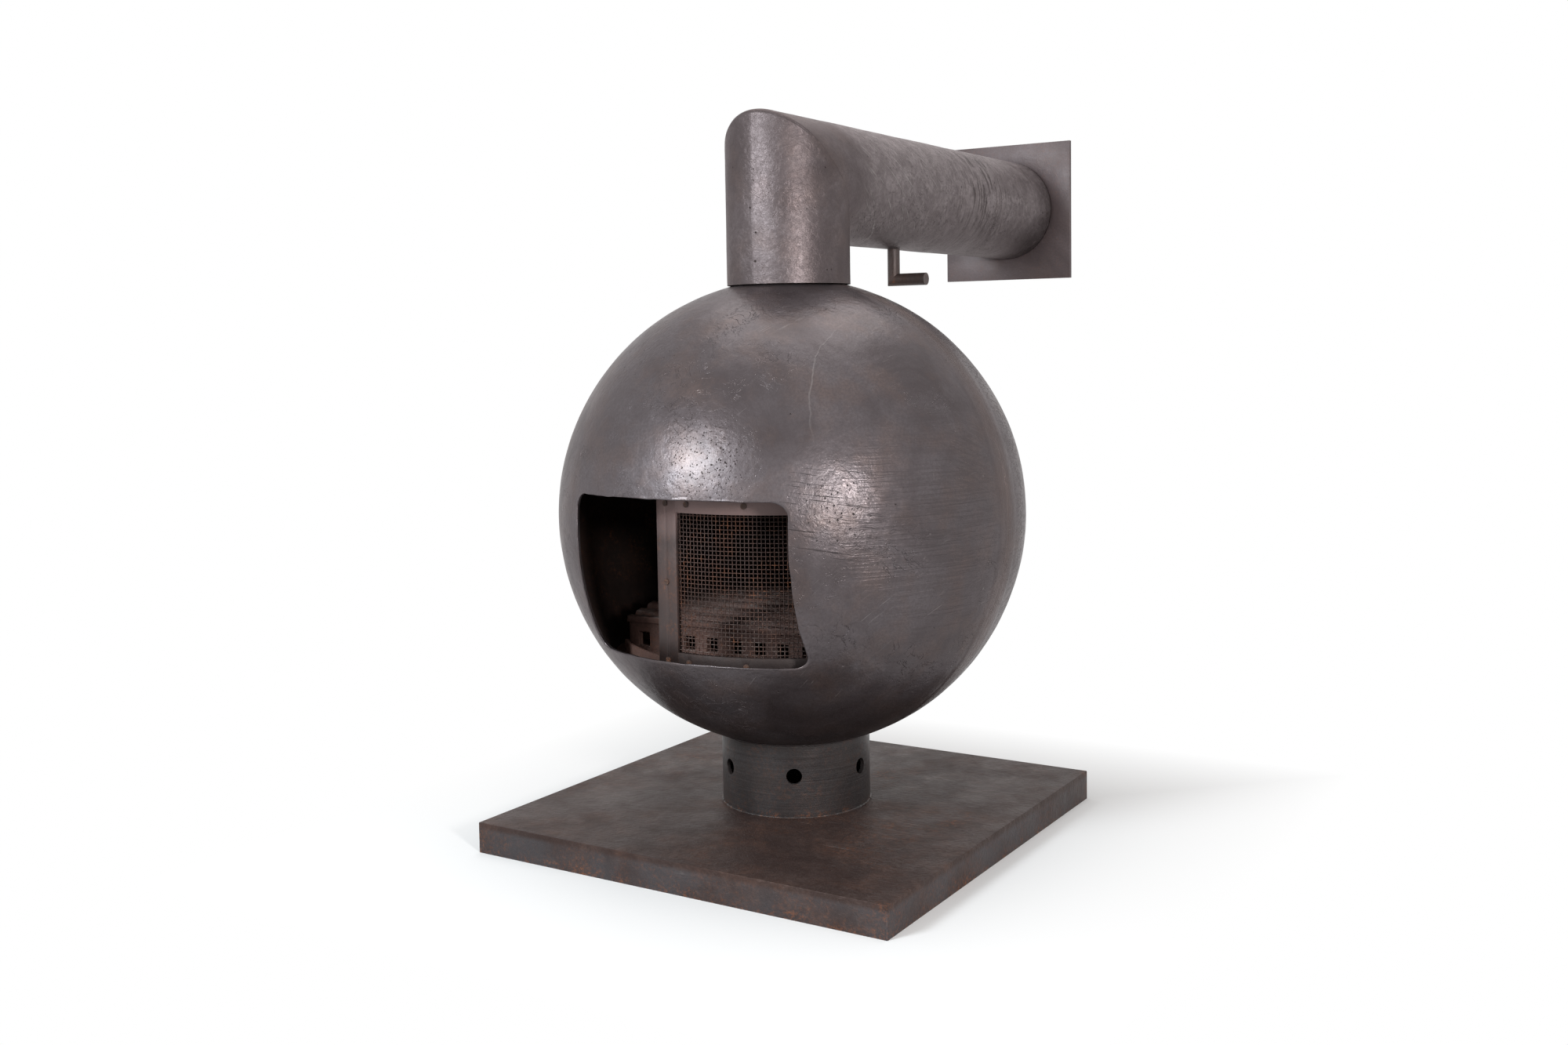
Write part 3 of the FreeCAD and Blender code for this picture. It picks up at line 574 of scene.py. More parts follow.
def steel_colour(shader, tones, warm_share=WARM_SHARE):
    """Patchy dark steel: broad clouds of two greys with a warm brown drift and fine speckle."""
    colour = shader.mix(shader.pattern(CLOUDS), tones.dark, tones.pale)
    colour = shader.mix(shader.pattern(WARM_DRIFT, 0.0, warm_share), colour, tones.warm)
    return shader.mix(shader.pattern(SPECKLE, 0.0, SPECKLE_SHARE), colour, tones.dark)


def rust_patches(shader, colour, share):
    """Colour with speckled rust where a share mask allows it."""
    rust = shader.product(shader.pattern(RUST_GRAIN), shader.pattern(RUST_PATCHES), share)
    return shader.mix(rust, colour, RUST)


def make_ball_steel():
    shader = Shader("ball_steel")
    y = shader.along(Y)
    pit_patch = shader.near(PIT_PATCH)
    cut_patch = shader.near(CUT_PATCH)
    left_patch = shader.near(LEFT_PATCH)
    seam = shader.band(y, SEAM_MIDDLE, SEAM_BAND)
    behind_seam = shader.band(y, CHATTER_MIDDLE, CHATTER_BAND)
    ahead_of_seam = shader.span(y, *(SEAM_MIDDLE - SEAM_BAND * share for share in GROUND_STOP_SHARES))
    side = shader.product(shader.near(GROUND_PATCH), ahead_of_seam)
    upper_side = shader.product(shader.near(SLANT_PATCH), ahead_of_seam)

    ground = shader.marks(GROUND_LINES, side)
    slanted = shader.marks(SLANTED_LINES, upper_side)
    brushed = shader.marks(BRUSHED_LINES, seam)
    chatter = shader.marks(CHATTER, behind_seam)
    scratches = shader.marks(SCRATCHES, shader.pattern(SCRATCHED))
    wrinkles = shader.product(shader.noise(BALL_WRINKLES), shader.most(cut_patch, left_patch))
    scar_path = shader.math(
        "ADD", shader.along(SCAR_NORMAL), shader.pattern(SCAR_BENDS, -SCAR_WANDER, SCAR_WANDER)
    )
    weld_scar = shader.product(
        shader.band(scar_path, SCAR_OFFSET, SCAR_WIDTH),
        shader.band(shader.along(Z), SCAR_Z, SCAR_HALF_HEIGHT),
        shader.span(y, 0.0, -SCAR_FADE),
    )
    dings = shader.pits(DINGS)
    crease_lines = shader.band(shader.noise(BALL_CREASES), CREASE_LEVEL, BALL_CREASE_SPREAD)
    creases = shader.product(crease_lines, shader.pattern(BALL_CREASED))
    pits = shader.most(
        shader.pits(CROWN_PITS, pit_patch),
        shader.pits(FINE_CROWN_PITS, pit_patch),
        shader.pits(CUT_PITS, cut_patch),
        shader.pits(LEFT_PITS, left_patch),
        shader.pits(STRAY_PITS),
        shader.marks(CUTS, cut_patch),
    )

    colour = shader.layers(
        steel_colour(shader, BALL_TONES),
        (ground, 0.5, BALL_TONES.dark),
        (slanted, 0.5, BALL_TONES.dark),
        (seam, 0.5, BALL_TONES.warm),
        (brushed, 0.5, BALL_TONES.dark),
        (chatter, 0.55, PIT_DARK),
        (scratches, 0.35, BRIGHT_STEEL),
        (weld_scar, 0.32, BRIGHT_STEEL),
        (dings, 0.4, BRIGHT_STEEL),
        (creases, 0.35, PIT_DARK),
        (pits, 1.0, PIT_DARK),
    )
    shader.raise_by(
        BALL_RELIEF,
        beating=shader.noise(BALL_BEATING),
        ground=shader.most(ground, slanted),
        brushed=brushed,
        chatter=chatter,
        wrinkles=wrinkles,
        weld_scar=weld_scar,
        dings=dings,
        creases=creases,
        pits=pits,
        grain=shader.noise(BALL_GRAIN),
    )
    return shader.finish(
        colour, rough=(0.30, 0.46), Metallic=0.7, Specular_IOR_Level=0.2, Specular_Tint=BALL_EDGE_TINT,
        Coat_Weight=0.22, Coat_Roughness=0.22,
    )


def make_flue_steel():
    shader = Shader("flue_steel")
    y = shader.along(Y)
    run = shader.span(y, *(flue_radius * share for share in RUN_START_SHARES))
    # Painted shade under the run, darker towards the bottom of the pipe
    under_shade_z = flue_z - flue_radius * RUN_UNDER_SHADE_REACH_SHARE
    under_shade = shader.product(run, shader.span(shader.along(Z), flue_z, under_shade_z))
    # Painted shadow of the gap at the wall plate: a dark band at the run's far end
    gap_shade_start = run_high.y - END_GAP_SHADE * END_GAP_SHADE_FADE_SHARE
    painted_gap_shade = shader.span(y, gap_shade_start, run_high.y - END_GAP_SHADE)
    flakes = shader.pattern(FLUE_FLAKES)
    bare = shader.math("SUBTRACT", 1.0, flakes)
    wrinkles = shader.marks(RUN_WRINKLES, shader.near(WRINKLE_PATCH))
    scores = shader.marks(RUN_SCORES, shader.product(shader.near(ELBOW_PATCH), run))
    crease_lines = shader.band(shader.noise(RUN_CREASES), CREASE_LEVEL, RUN_CREASE_SPREAD)
    creases = shader.product(crease_lines, shader.pattern(RUN_CREASED), run)
    pits = shader.most(shader.pits(FLUE_PITS), shader.pits(WIDE_FLUE_PITS))

    colour = shader.layers(
        steel_colour(shader, FLUE_TONES),
        # Dust over the run, which also paints light on it
        (run, RUN_DUST_AND_PAINTED_LIGHT_SHARE, RUN_DUST_AND_PAINTED_LIGHT),
        # Painted shade under the run
        (under_shade, RUN_UNDER_SHADE_SHARE, FLUE_TONES.dark),
        (shader.pattern(SMUDGES, 1.0, 0.0), SMUDGE_SHARE, FLUE_TONES.dark),
        (bare, SMUDGE_SHARE, FLUE_TONES.dark),
        (scores, 0.75, BRIGHT_STEEL),
        (creases, 0.35, PIT_DARK),
        (wrinkles, 0.6, PIT_DARK),
        # Pits, and the painted gap shadow at the run's end
        (shader.most(pits, painted_gap_shade), 1.0, PIT_DARK),
    )
    mottle_share = shader.span(run, 0.0, 1.0, RISER_MOTTLE_SHARE, 1.0)
    shader.raise_by(
        FLUE_RELIEF,
        mottle=shader.product(shader.noise(FLUE_MOTTLE), mottle_share),
        flakes=flakes,
        wrinkles=wrinkles,
        creases=creases,
        scores=scores,
        pits=pits,
        grain=shader.noise(PLAIN_GRAIN),
    )
    return shader.finish(
        colour, rough=(0.36, 0.50), Metallic=0.7, Specular_IOR_Level=0.2, Specular_Tint=FLUE_EDGE_TINT,
        Coat_Weight=0.06, Coat_Roughness=0.20,
    )


def make_hearth_steel():
    shader = Shader("hearth_steel")
    z = shader.along(Z)
    skirt = shader.span(z, hearth_high.z - HEARTH_WALL, hearth_high.z - HEARTH_WALL * 2)
    low_edge = shader.span(z, RUST_REACH, 0.0)
    corner_x, corner_y = (
        shader.span(shader.math("ABSOLUTE", shader.along(axis)), reach - RUST_REACH, reach)
        for axis, reach in ((X, hearth_high.x), (Y, hearth_high.y))
    )
    edges = shader.most(low_edge, shader.product(corner_x, corner_y))
    rims = shader.product(shader.most(corner_x, corner_y), skirt)
    sparse = shader.pattern(SPARSE_RUST, 0.0, SPARSE_RUST_SHARE)
    rust = shader.most(
        shader.product(edges, EDGE_RUST_SHARE), sparse, shader.product(rims, RIM_RUST_SHARE)
    )

    colour = shader.layers(
        steel_colour(shader, HEARTH_TONES, HEARTH_WARM_SHARE),
        (shader.pattern(HEARTH_MOTTLE, 1.0, 0.0), HEARTH_MOTTLE_SHARE, HEARTH_TONES.dark),
        (shader.pattern(BLUE_PATCHES, *BLUE_SHARES), skirt, BLUE_SCALE),
    )
    colour = rust_patches(shader, colour, rust)
    colour = shader.mix(shader.marks(HEARTH_SCRATCHES, sparse), colour, BRIGHT_STEEL)
    shader.raise_by(
        HEARTH_RELIEF,
        beating=shader.noise(HEARTH_BEATING),
        flakes=shader.pattern(HEARTH_FLAKES),
        pits=shader.pits(HEARTH_PITS, sparse),
        grain=shader.noise(HEARTH_GRAIN),
    )
    return shader.finish(
        colour, rough=(0.38, 0.60), Metallic=0.12, Specular_IOR_Level=0.19, Specular_Tint=HEARTH_EDGE_TINT,
    )


def make_collar_steel():
    shader = Shader("collar_steel")
    turned = shader.pattern(TURNED_ROWS, place=shader.stretched(TURNED_AXES))
    colour = shader.layers(steel_colour(shader, COLLAR_TONES), (turned, TURNED_SHARE, COLLAR_TONES.dark))
    foot = shader.span(shader.along(Z), collar_low.z + RUST_REACH / 2, collar_low.z, *COLLAR_RUST_SHARES)
    colour = rust_patches(shader, colour, foot)
    shader.raise_by(
        COLLAR_RELIEF,
        turned=turned,
        beating=shader.noise(PLAIN_BEATING),
        grain=shader.noise(PLAIN_GRAIN),
    )
    return shader.finish(colour, rough=(0.36, 0.52), Metallic=0.3, Specular_IOR_Level=0.3)


def make_plain_steel(
    name, tones, rust_share, rough, metal=0.2, shine=0.3, relief=PLAIN_RELIEF,
    soot_top=None, painted_light_z=None, ash_and_glint_top=None,
):
    """Smaller steel pieces: patchy colour, some rust and an even grain, with soot, painted light towards
    the top, or pale ash low down on up-facing faces that also paints their glint.
    """
    shader = Shader(name)
    colour = steel_colour(shader, tones)
    colour = rust_patches(shader, colour, shader.pattern(PLAIN_RUST, 0.0, rust_share))
    if soot_top:
        soot = shader.span(shader.along(Z), soot_top, soot_top - SOOT_FADE, 0.0, SOOT_SHARE)
        colour = shader.mix(soot, colour, SOOT_TONES.dark)
    # Painted light: paler towards the top, above a height
    if painted_light_z:
        painted_light = shader.span(shader.along(Z), painted_light_z - PAINTED_LIGHT_FADE, painted_light_z, 0.0, PAINTED_LIGHT_SHARE)
        colour = shader.mix(painted_light, colour, PAINTED_LIGHT_STEEL)
    # Pale ash on up-facing faces below a height, which also paints a glint where light catches their top
    # edges
    if ash_and_glint_top:
        ash_and_glint = shader.pattern(ASH_AND_GLINT_PATCHES, 0.0, ASH_AND_GLINT_SHARE)
        low = shader.span(shader.along(Z), ash_and_glint_top, ash_and_glint_top - ASH_AND_GLINT_FADE)
        colour = shader.mix(shader.product(ash_and_glint, low, shader.facing_up(*ASH_AND_GLINT_SLOPES)), colour, ASH_AND_GLINT)
    shader.raise_by(relief, beating=shader.noise(PLAIN_BEATING), grain=shader.noise(PLAIN_GRAIN))
    return shader.finish(colour, rough, Metallic=metal, Specular_IOR_Level=shine)


def make_fire_rope():
    shader = Shader("fire_rope")
    twist = shader.noise(ROPE_TWIST.ripple, shader.stretched(ROPE_AXES))
    colour = shader.mix(shader.span(twist, ROPE_TWIST.low, ROPE_TWIST.high), ROPE_DARK, ROPE_PALE)
    shader.raise_by(ROPE_RELIEF, twist=twist)
    return shader.finish(colour, rough=(0.85, 0.97))


materials = {
    "ball_steel": make_ball_steel(),
    "flue_steel": make_flue_steel(),
    "hearth_steel": make_hearth_steel(),
    "fire_rope": make_fire_rope(),
    "collar_steel": make_collar_steel(),
    "plate_steel": make_plain_steel("plate_steel", PLATE_TONES, 0.15, (0.42, 0.58), shine=0.5),
    "sooted_steel": make_plain_steel("sooted_steel", SOOT_TONES, 0.35, (0.7, 0.9), metal=0.0),
    "mesh_wire": make_plain_steel("mesh_wire", WIRE_TONES, 0.7, (0.5, 0.7), ash_and_glint_top=screen_ash_and_glint_top),
    "screen_steel": make_plain_steel(
        # The screen's top rail is painted lighter, as painted light
        "screen_steel", SCREEN_TONES, 0.4, (0.45, 0.6), soot_top=screen_soot_top, painted_light_z=screen_painted_light_z
    ),
    "screw_steel": make_plain_steel("screw_steel", SCREW_TONES, 0.9, (0.45, 0.65)),
    "firebox_steel": make_plain_steel("firebox_steel", FIREBOX_TONES, 0.5, (0.5, 0.75)),
    "grate_iron": make_plain_steel(
        "grate_iron", GRATE_TONES, 0.4, (0.55, 0.8), relief=GRATE_RELIEF, ash_and_glint_top=grate_ash_and_glint_top
    ),
    "damper_rod": make_plain_steel("damper_rod", ROD_TONES, 0.5, (0.4, 0.58)),
}


# Mesh helpers

def add_piece(name, mesh, slots, body):
    """Object for a mesh, with its materials, that rides on a body."""
    piece = bpy.data.objects.new(name, mesh)
    bpy.context.scene.collection.objects.link(piece)
    mesh.materials.clear()
    for slot in slots:
        mesh.materials.append(materials[slot])
    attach(piece, body)
    return piece


def new_piece(name, points, faces, slots, body, face_slots=None):
    """Smooth piece from points and faces in the part's frame."""
    mesh = bpy.data.meshes.new(name)
    mesh.from_pydata([tuple(point) for point in points], [], faces)
    mesh.validate()
    piece = add_piece(name, mesh, slots, body)
    if face_slots:
        mesh.polygons.foreach_set("material_index", face_slots)
    mesh.polygons.foreach_set("use_smooth", [True] * len(mesh.polygons))
    return piece


def ring_faces(lower, upper, count):
    """Quads between two closed rings of points that start at these indices."""
    faces = []
    for index in range(count):
        after = (index + 1) % count
        faces.append((lower + index, lower + after, upper + after, upper + index))
    return faces


def ring_stack(rings):
    """Points and faces of a closed tube of rings, where the last ring joins the first."""
    count = len(rings[0])
    points = [point for ring in rings for point in ring]
    faces = []
    for row in range(len(rings)):
        faces += ring_faces(row * count, (row + 1) % len(rings) * count, count)
    return points, faces


def circle(centre, side, rise, radius, count):
    """Points round a centre, in the plane of two directions."""
    points = []
    for index in range(count):
        turn = math.tau * index / count
        points.append(centre + (side * math.cos(turn) + rise * math.sin(turn)) * radius)
    return points


def sharpen(piece, limit):
    """Keep edges sharper than an angle crisp and shade the rest smooth."""
    mesh = piece.data
    mesh.polygons.foreach_set("use_smooth", [True] * len(mesh.polygons))
    mesh.set_sharp_from_angle(angle=limit)


# Ball

def ball_relief(point):
    """Height of the ball's beaten skin, which stands proud where its seam was welded and ground."""
    inside = SEAM_BAND - abs(point.y - SEAM_MIDDLE)
    return dents(point) + SEAM_RISE * min(max(inside / SEAM_FLANK, 0), 1)


def mouth_distance(point):
    """Signed distance of a point from the mouth's outline, seen from the front."""
    across = abs(point.x - MOUTH_SIDE_SHIFT) - MOUTH_WIDTH / 2 + MOUTH_CORNER_RADIUS
    along = abs(point.z - ball_centre.z + MOUTH_DROP) - MOUTH_HEIGHT / 2 + MOUTH_CORNER_RADIUS
    outside = math.hypot(max(across, 0), max(along, 0))
    distance = outside + min(max(across, along), 0) - MOUTH_CORNER_RADIUS
    wander = MOUTH_WANDER * noise.noise(point * MOUTH_WANDER_WAVES)
    return distance + wander + MOUTH_RIPPLE * noise.noise(point * MOUTH_RIPPLE_WAVES)


def past_rim(direction):
    """Whether a direction lies past the half ball's rim or inside the flue or air opening."""
    if direction.y > 0:
        return True
    hole = outlet_radius if direction.z > 0 else AIR_INLET_RADIUS
    return math.hypot(direction.x, direction.y) * ball_radius < hole


def search(test, low, high):
    """Arc at which a test turns true, between two arcs."""
    for _ in range(SEARCH_ROUNDS):
        middle = (low + high) / 2
        if test(middle):
            high = middle
        else:
            low = middle
    return high


def half_ball(middle, has_mouth, mirror):
    """Rings of the outer and inner skin from the mouth, or from the pole, to the rim."""
    side = middle.cross(Z).normalized()
    up = side.cross(middle)
    spokes = circle(Vector(), side, up, 1, BALL_SPOKES)

    def heading(spoke, arc):
        return middle * math.cos(arc) + spoke * math.sin(arc)

    def rim_arc(spoke):
        def test(arc):
            direction = heading(spoke, arc)
            return past_rim(Vector((direction.x, direction.y * mirror, direction.z)))
        arc = RIM_SEARCH_START
        while not test(arc):
            arc += RIM_SEARCH_STEP
        return search(test, arc - RIM_SEARCH_STEP, arc)

    def mouth_arc(spoke, radius):
        if not has_mouth:
            return POLE_CAP_ARC
        return search(lambda arc: mouth_distance(ball_centre + heading(spoke, arc) * radius) > 0, 0, 1)

    rims = [rim_arc(spoke) for spoke in spokes]

    def skin(radius, rows, lip, relief):
        starts = [mouth_arc(spoke, radius) for spoke in spokes]
        rings = []
        for share in LIP_SHARES if lip else ():
            fall = lip - lip * math.sqrt(1 - (1 - share) ** 2)
            ring = []
            for spoke, start in zip(spokes, starts):
                ring.append(ball_centre + heading(spoke, start + lip * share / radius) * (radius - fall))
            rings.append(ring)
        for row in range(rows + 1):
            ring = []
            for spoke, start, rim in zip(spokes, starts, rims):
                first = start + lip / radius
                direction = heading(spoke, first + (rim - first) * row / rows)
                point = ball_centre + direction * radius
                ring.append(point + direction * relief(point))
            rings.append(ring)
        return rings

    outer = skin(ball_radius, BALL_RINGS, LIP_RADIUS if has_mouth else 0, ball_relief)
    inner = skin(ball_radius - BALL_WALL, BALL_INNER_RINGS, 0, lambda point: 0)
    return outer, inner


def make_half(name, node, middle, has_mouth, mirror):
    """Half of the ball, joined at the mouth's edge or closed by a cap at the pole of each skin."""
    outer, inner = half_ball(middle, has_mouth, mirror)
    points, faces = ring_stack(outer + inner[::-1])
    outer_faces = len(outer) * BALL_SPOKES
    slots = [0] * outer_faces + [1] * (len(faces) - outer_faces)
    if has_mouth:
        slots[-BALL_SPOKES:] = [0] * BALL_SPOKES
    else:
        last = len(points) - BALL_SPOKES
        faces[-BALL_SPOKES:] = [tuple(range(BALL_SPOKES))[::-1], tuple(range(last, len(points)))]
        slots[-BALL_SPOKES:] = [0, 1]
    piece = new_piece(name, points, faces, ["ball_steel", "sooted_steel"], "stove", slots)
    sharpen(piece, SKIN_SMOOTH_LIMIT)
    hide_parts(node)


def make_ball():
    mouth_y = -math.sqrt(ball_radius ** 2 - MOUTH_DROP ** 2)
    mouth_middle = Vector((MOUTH_SIDE_SHIFT, mouth_y, -MOUTH_DROP)).normalized()
    make_half("ball_front", "front_hemisphere", mouth_middle, True, 1)
    make_half("ball_rear", "rear_hemisphere", Y, False, -1)


# Pipes and beads

def seam_ridge(angle):
    """Rise of the riser's rolled seam at an angle round the pipe."""
    turn = (angle - SEAM_RIDGE_ANGLE + math.pi) % math.tau - math.pi
    return SEAM_RIDGE * math.exp(-abs(turn) / SEAM_RIDGE_FADE)


def mitre_round(angle):
    """Radius of the mitre's eased edge at an angle from the outside of the bend."""
    return MITRE_ROUND * max(math.cos(angle), 0) ** 2


def mitre_fall(point, radius):
    """Drop of the pipe's surface where the mitre's edge is eased."""
    inside = radius - abs(point.y + point.z - flue_z)
    return radius - math.sqrt(radius ** 2 - inside ** 2) if inside > 0 else 0


def riser_spine(radius, angle, trim):
    """Ends and outward side of one line up the riser, which stops short of the mitre by a trim."""
    foot = polar(radius, angle, riser_low.z)
    top = Vector((foot.x, foot.y, flue_z - foot.y - trim))
    return foot, top, polar(1, angle, 0)


def run_spine(radius, angle, trim):
    """Ends and outward side of one line along the run, which starts past the mitre by a trim."""
    outward = Vector((math.sin(angle), 0, math.cos(angle)))
    end = Vector((0, run_high.y, flue_z)) + outward * radius
    return Vector((end.x, flue_z - end.z + trim, end.z)), end, outward


def make_pipe(name, node, spine, length, mitre_share, ridged):
    """Pipe with rows of points from one end to the other, closer set near the mitre."""
    row_count = math.ceil(length / PIPE_ROW_STEP)
    shares = {row / row_count for row in range(row_count + 1)}
    shares |= {abs(mitre_share - MITRE_ROUND / length * row / MITRE_ROWS) for row in range(1, MITRE_ROWS)}
    turns = [math.tau * index / PIPE_SIDES for index in range(PIPE_SIDES)]
    rings = []
    for share in sorted(shares):
        ring = []
        for angle in turns:
            bend = mitre_round(angle)
            start, end, outward = spine(flue_radius, angle, bend * MITRE_TRIM_SHARE)
            point = start.lerp(end, share)
            calm = min(share, 1 - share) * (end - start).length / PIPE_END_CALM
            mottle = PIPE_MOTTLE_DEPTH * noise.noise(point * PIPE_MOTTLE_WAVES)
            lift = (dents(point) + mottle) * min(calm, 1) - mitre_fall(point, bend)
            if ridged:
                lift += seam_ridge(angle)
            ring.append(point + outward * lift)
        rings.append(ring)
    bore_first = len(rings) * PIPE_SIDES
    bore = [spine(flue_radius - FLUE_WALL, angle, 0) for angle in turns]
    rings.append([end for start, end, outward in bore])
    rings.append([start for start, end, outward in bore])
    points, faces = ring_stack(rings)
    # The last three rows of faces are the far end, the bore and the near end.
    # The ends take the bore's sooted finish, which also paints shade in the gaps at the pipe's ends
    slots = [0] * len(faces)
    slots[bore_first - PIPE_SIDES:] = [1] * (PIPE_SIDES * 3)
    piece = new_piece(name, points, faces, ["flue_steel", "sooted_steel"], "stove", slots)
    sharpen(piece, SKIN_SMOOTH_LIMIT)
    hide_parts(node)


def make_flue():
    make_pipe("flue_riser_pipe", "flue_riser", riser_spine, riser_high.z - riser_low.z, 1, True)
    make_pipe("flue_run_pipe", "flue_run", run_spine, run_high.y - run_low.y, 0, False)


def make_bead(name, path, radius, lump_share, slot):
    """Weld bead: a lumpy closed tube along a path, given as a function of a share of its length."""
    rings = []
    half_step = 0.5 / BEAD_STEPS
    for step in range(BEAD_STEPS):
        share = step / BEAD_STEPS
        centre = path(share)
        ahead = (path((share + half_step) % 1) - path((share - half_step) % 1)).normalized()
        side = ahead.cross(BEAD_REFERENCE).normalized()
        lump = noise.noise(centre * BEAD_LUMP_WAVES)
        swell = noise.noise(centre * BEAD_SWELL_WAVES)
        thickness = radius * (1 + lump_share * lump + lump_share * swell)
        rings.append(circle(centre, side, side.cross(ahead), thickness, BEAD_SIDES))
    points, faces = ring_stack(rings)
    new_piece(name, points, faces, [slot], "stove")


def make_welds():
    def collar_foot(share):
        return polar(collar_radius, math.tau * share, collar_low.z)

    def collar_top(share):
        return polar(collar_radius, math.tau * share, collar_high.z)

    def mitre(share):
        angle = math.tau * share
        radius = flue_radius - mitre_round(angle) * MITRE_TRIM_SHARE - MITRE_BEAD_SINK
        return polar(radius, angle, flue_z + radius * math.cos(angle))

    make_bead("collar_foot_weld", collar_foot, COLLAR_FOOT_BEAD, COLLAR_FOOT_LUMP_SHARE, "collar_steel")
    make_bead("collar_top_weld", collar_top, COLLAR_TOP_BEAD, COLLAR_TOP_LUMP_SHARE, "collar_steel")
    make_bead("flue_mitre_weld", mitre, MITRE_BEAD, MITRE_LUMP_SHARE, "flue_steel")


# Woven mesh of the screen

def make_wires(name, node, paths):
    """Round wires along lists of points, each with its two cross directions."""
    points = []
    faces = []
    for path in paths:
        start = len(points)
        for centre, side, rise in path:
            points += circle(centre, side, rise, MESH_WIRE_RADIUS, WIRE_SIDES)
        for row in range(len(path) - 1):
            faces += ring_faces(start + row * WIRE_SIDES, start + (row + 1) * WIRE_SIDES, WIRE_SIDES)
        last = start + (len(path) - 1) * WIRE_SIDES
        faces.append(tuple(range(start + WIRE_SIDES - 1, start - 1, -1)))
        faces.append(tuple(range(last, last + WIRE_SIDES)))
    piece = new_piece(name, points, faces, ["mesh_wire"], "screen")
    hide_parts(node)


def merged_mesh(node):
    """Editable copy of a node's mesh, with its split corners joined."""
    mesh = bmesh.new()
    mesh.from_mesh(frame["nodes"][node].data)
    bmesh.ops.remove_doubles(mesh, verts=mesh.verts, dist=MERGE_DISTANCE)
    return mesh


def wire_count(node):
    """Separate solids in a node, counted as mesh islands."""
    mesh = merged_mesh(node)
    seen = set()
    islands = 0
    for vertex in mesh.verts:
        if vertex in seen:
            continue
        islands += 1
        stack = [vertex]
        seen.add(vertex)
        while stack:
            for edge in stack.pop().link_edges:
                for other in edge.verts:
                    if other not in seen:
                        seen.add(other)
                        stack.append(other)
    mesh.free()
    return islands


def make_woven_mesh():
    low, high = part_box("mesh_uprights")
    uprights = wire_count("mesh_uprights")
    hoops = wire_count("mesh_hoops")
    corners = [vertex.co for vertex in frame["nodes"]["mesh_uprights"].data.vertices]
    upright_radius = max(math.hypot(corner.x, corner.y) for corner in corners)
    middle = upright_radius - SOLID_WIRE_RADIUS * MESH_INSET_SHARE
    turns = [math.atan2(corner.x, -corner.y) for corner in corners]
    half_wire = SOLID_WIRE_RADIUS / upright_radius
    first = min(turns) + half_wire
    last = max(turns) - half_wire

    def crossing(row, column, side):
        """Place and angle of a wire at a row and a column, woven out for side 1 and in for side -1."""
        angle = first + (last - first) * column / (uprights - 1)
        z = low.z + (high.z - low.z) * row / (hoops - 1)
        radius = middle + side * MESH_WEAVE * math.cos(math.pi * (row + column))
        return polar(radius, angle, z), angle

    upright_paths = []
    for column in range(uprights):
        path = []
        for step in range((hoops - 1) * WIRE_STEPS_PER_PITCH + 1):
            centre, angle = crossing(step / WIRE_STEPS_PER_PITCH, column, 1)
            path.append((centre, polar(1, angle + math.pi / 2, 0), polar(1, angle, 0)))
        upright_paths.append(path)
    hoop_paths = []
    for row in range(hoops):
        path = []
        for step in range((uprights - 1) * WIRE_STEPS_PER_PITCH + 1):
            centre, angle = crossing(row, step / WIRE_STEPS_PER_PITCH, -1)
            path.append((centre, Z, polar(1, angle, 0)))
        hoop_paths.append(path)
    make_wires("woven_uprights", "mesh_uprights", upright_paths)
    make_wires("woven_hoops", "mesh_hoops", hoop_paths)


# Hearth and dressed pieces

def ease(mesh, edges, width, segments):
    """Round edges of an editable mesh over."""
    bmesh.ops.bevel(
        mesh, geom=edges, offset=width, segments=segments, profile=EDGE_ROUNDNESS, affect="EDGES",
        clamp_overlap=True,
    )


def finished_mesh(mesh, name):
    """Plain mesh from an editable one."""
    data = bpy.data.meshes.new(name)
    mesh.to_mesh(data)
    mesh.free()
    return data


def dress(node, width, slot):
    """Copy of a CAD node with its edges eased, which stands for the node."""
    mesh = merged_mesh(node)
    bmesh.ops.dissolve_limit(mesh, angle_limit=FLAT_LIMIT, verts=mesh.verts, edges=mesh.edges)
    edges = [edge for edge in mesh.edges if edge.is_manifold and edge.calc_face_angle() > EASED_LIMIT]
    ease(mesh, edges, width, EDGE_SEGMENTS)
    name = node + "_dressed"
    piece = add_piece(name, finished_mesh(mesh, name), [slot], frame["nodes"][node]["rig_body"])
    sharpen(piece, PIECE_SMOOTH_LIMIT)
    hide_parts(node)


def dress_pieces(slots):
    for node in ("screen_left_stile", "screen_right_stile", "screen_top_rail", "screen_bottom_rail"):
        dress(node, SCREEN_EDGE, slots[node])
    for node in frame["nodes"]:
        if node.startswith("fire_bar") or node == "grate_frame":
            dress(node, GRATE_EDGE, slots[node])
    dress("wall_plate", PLATE_EDGE, slots["wall_plate"])


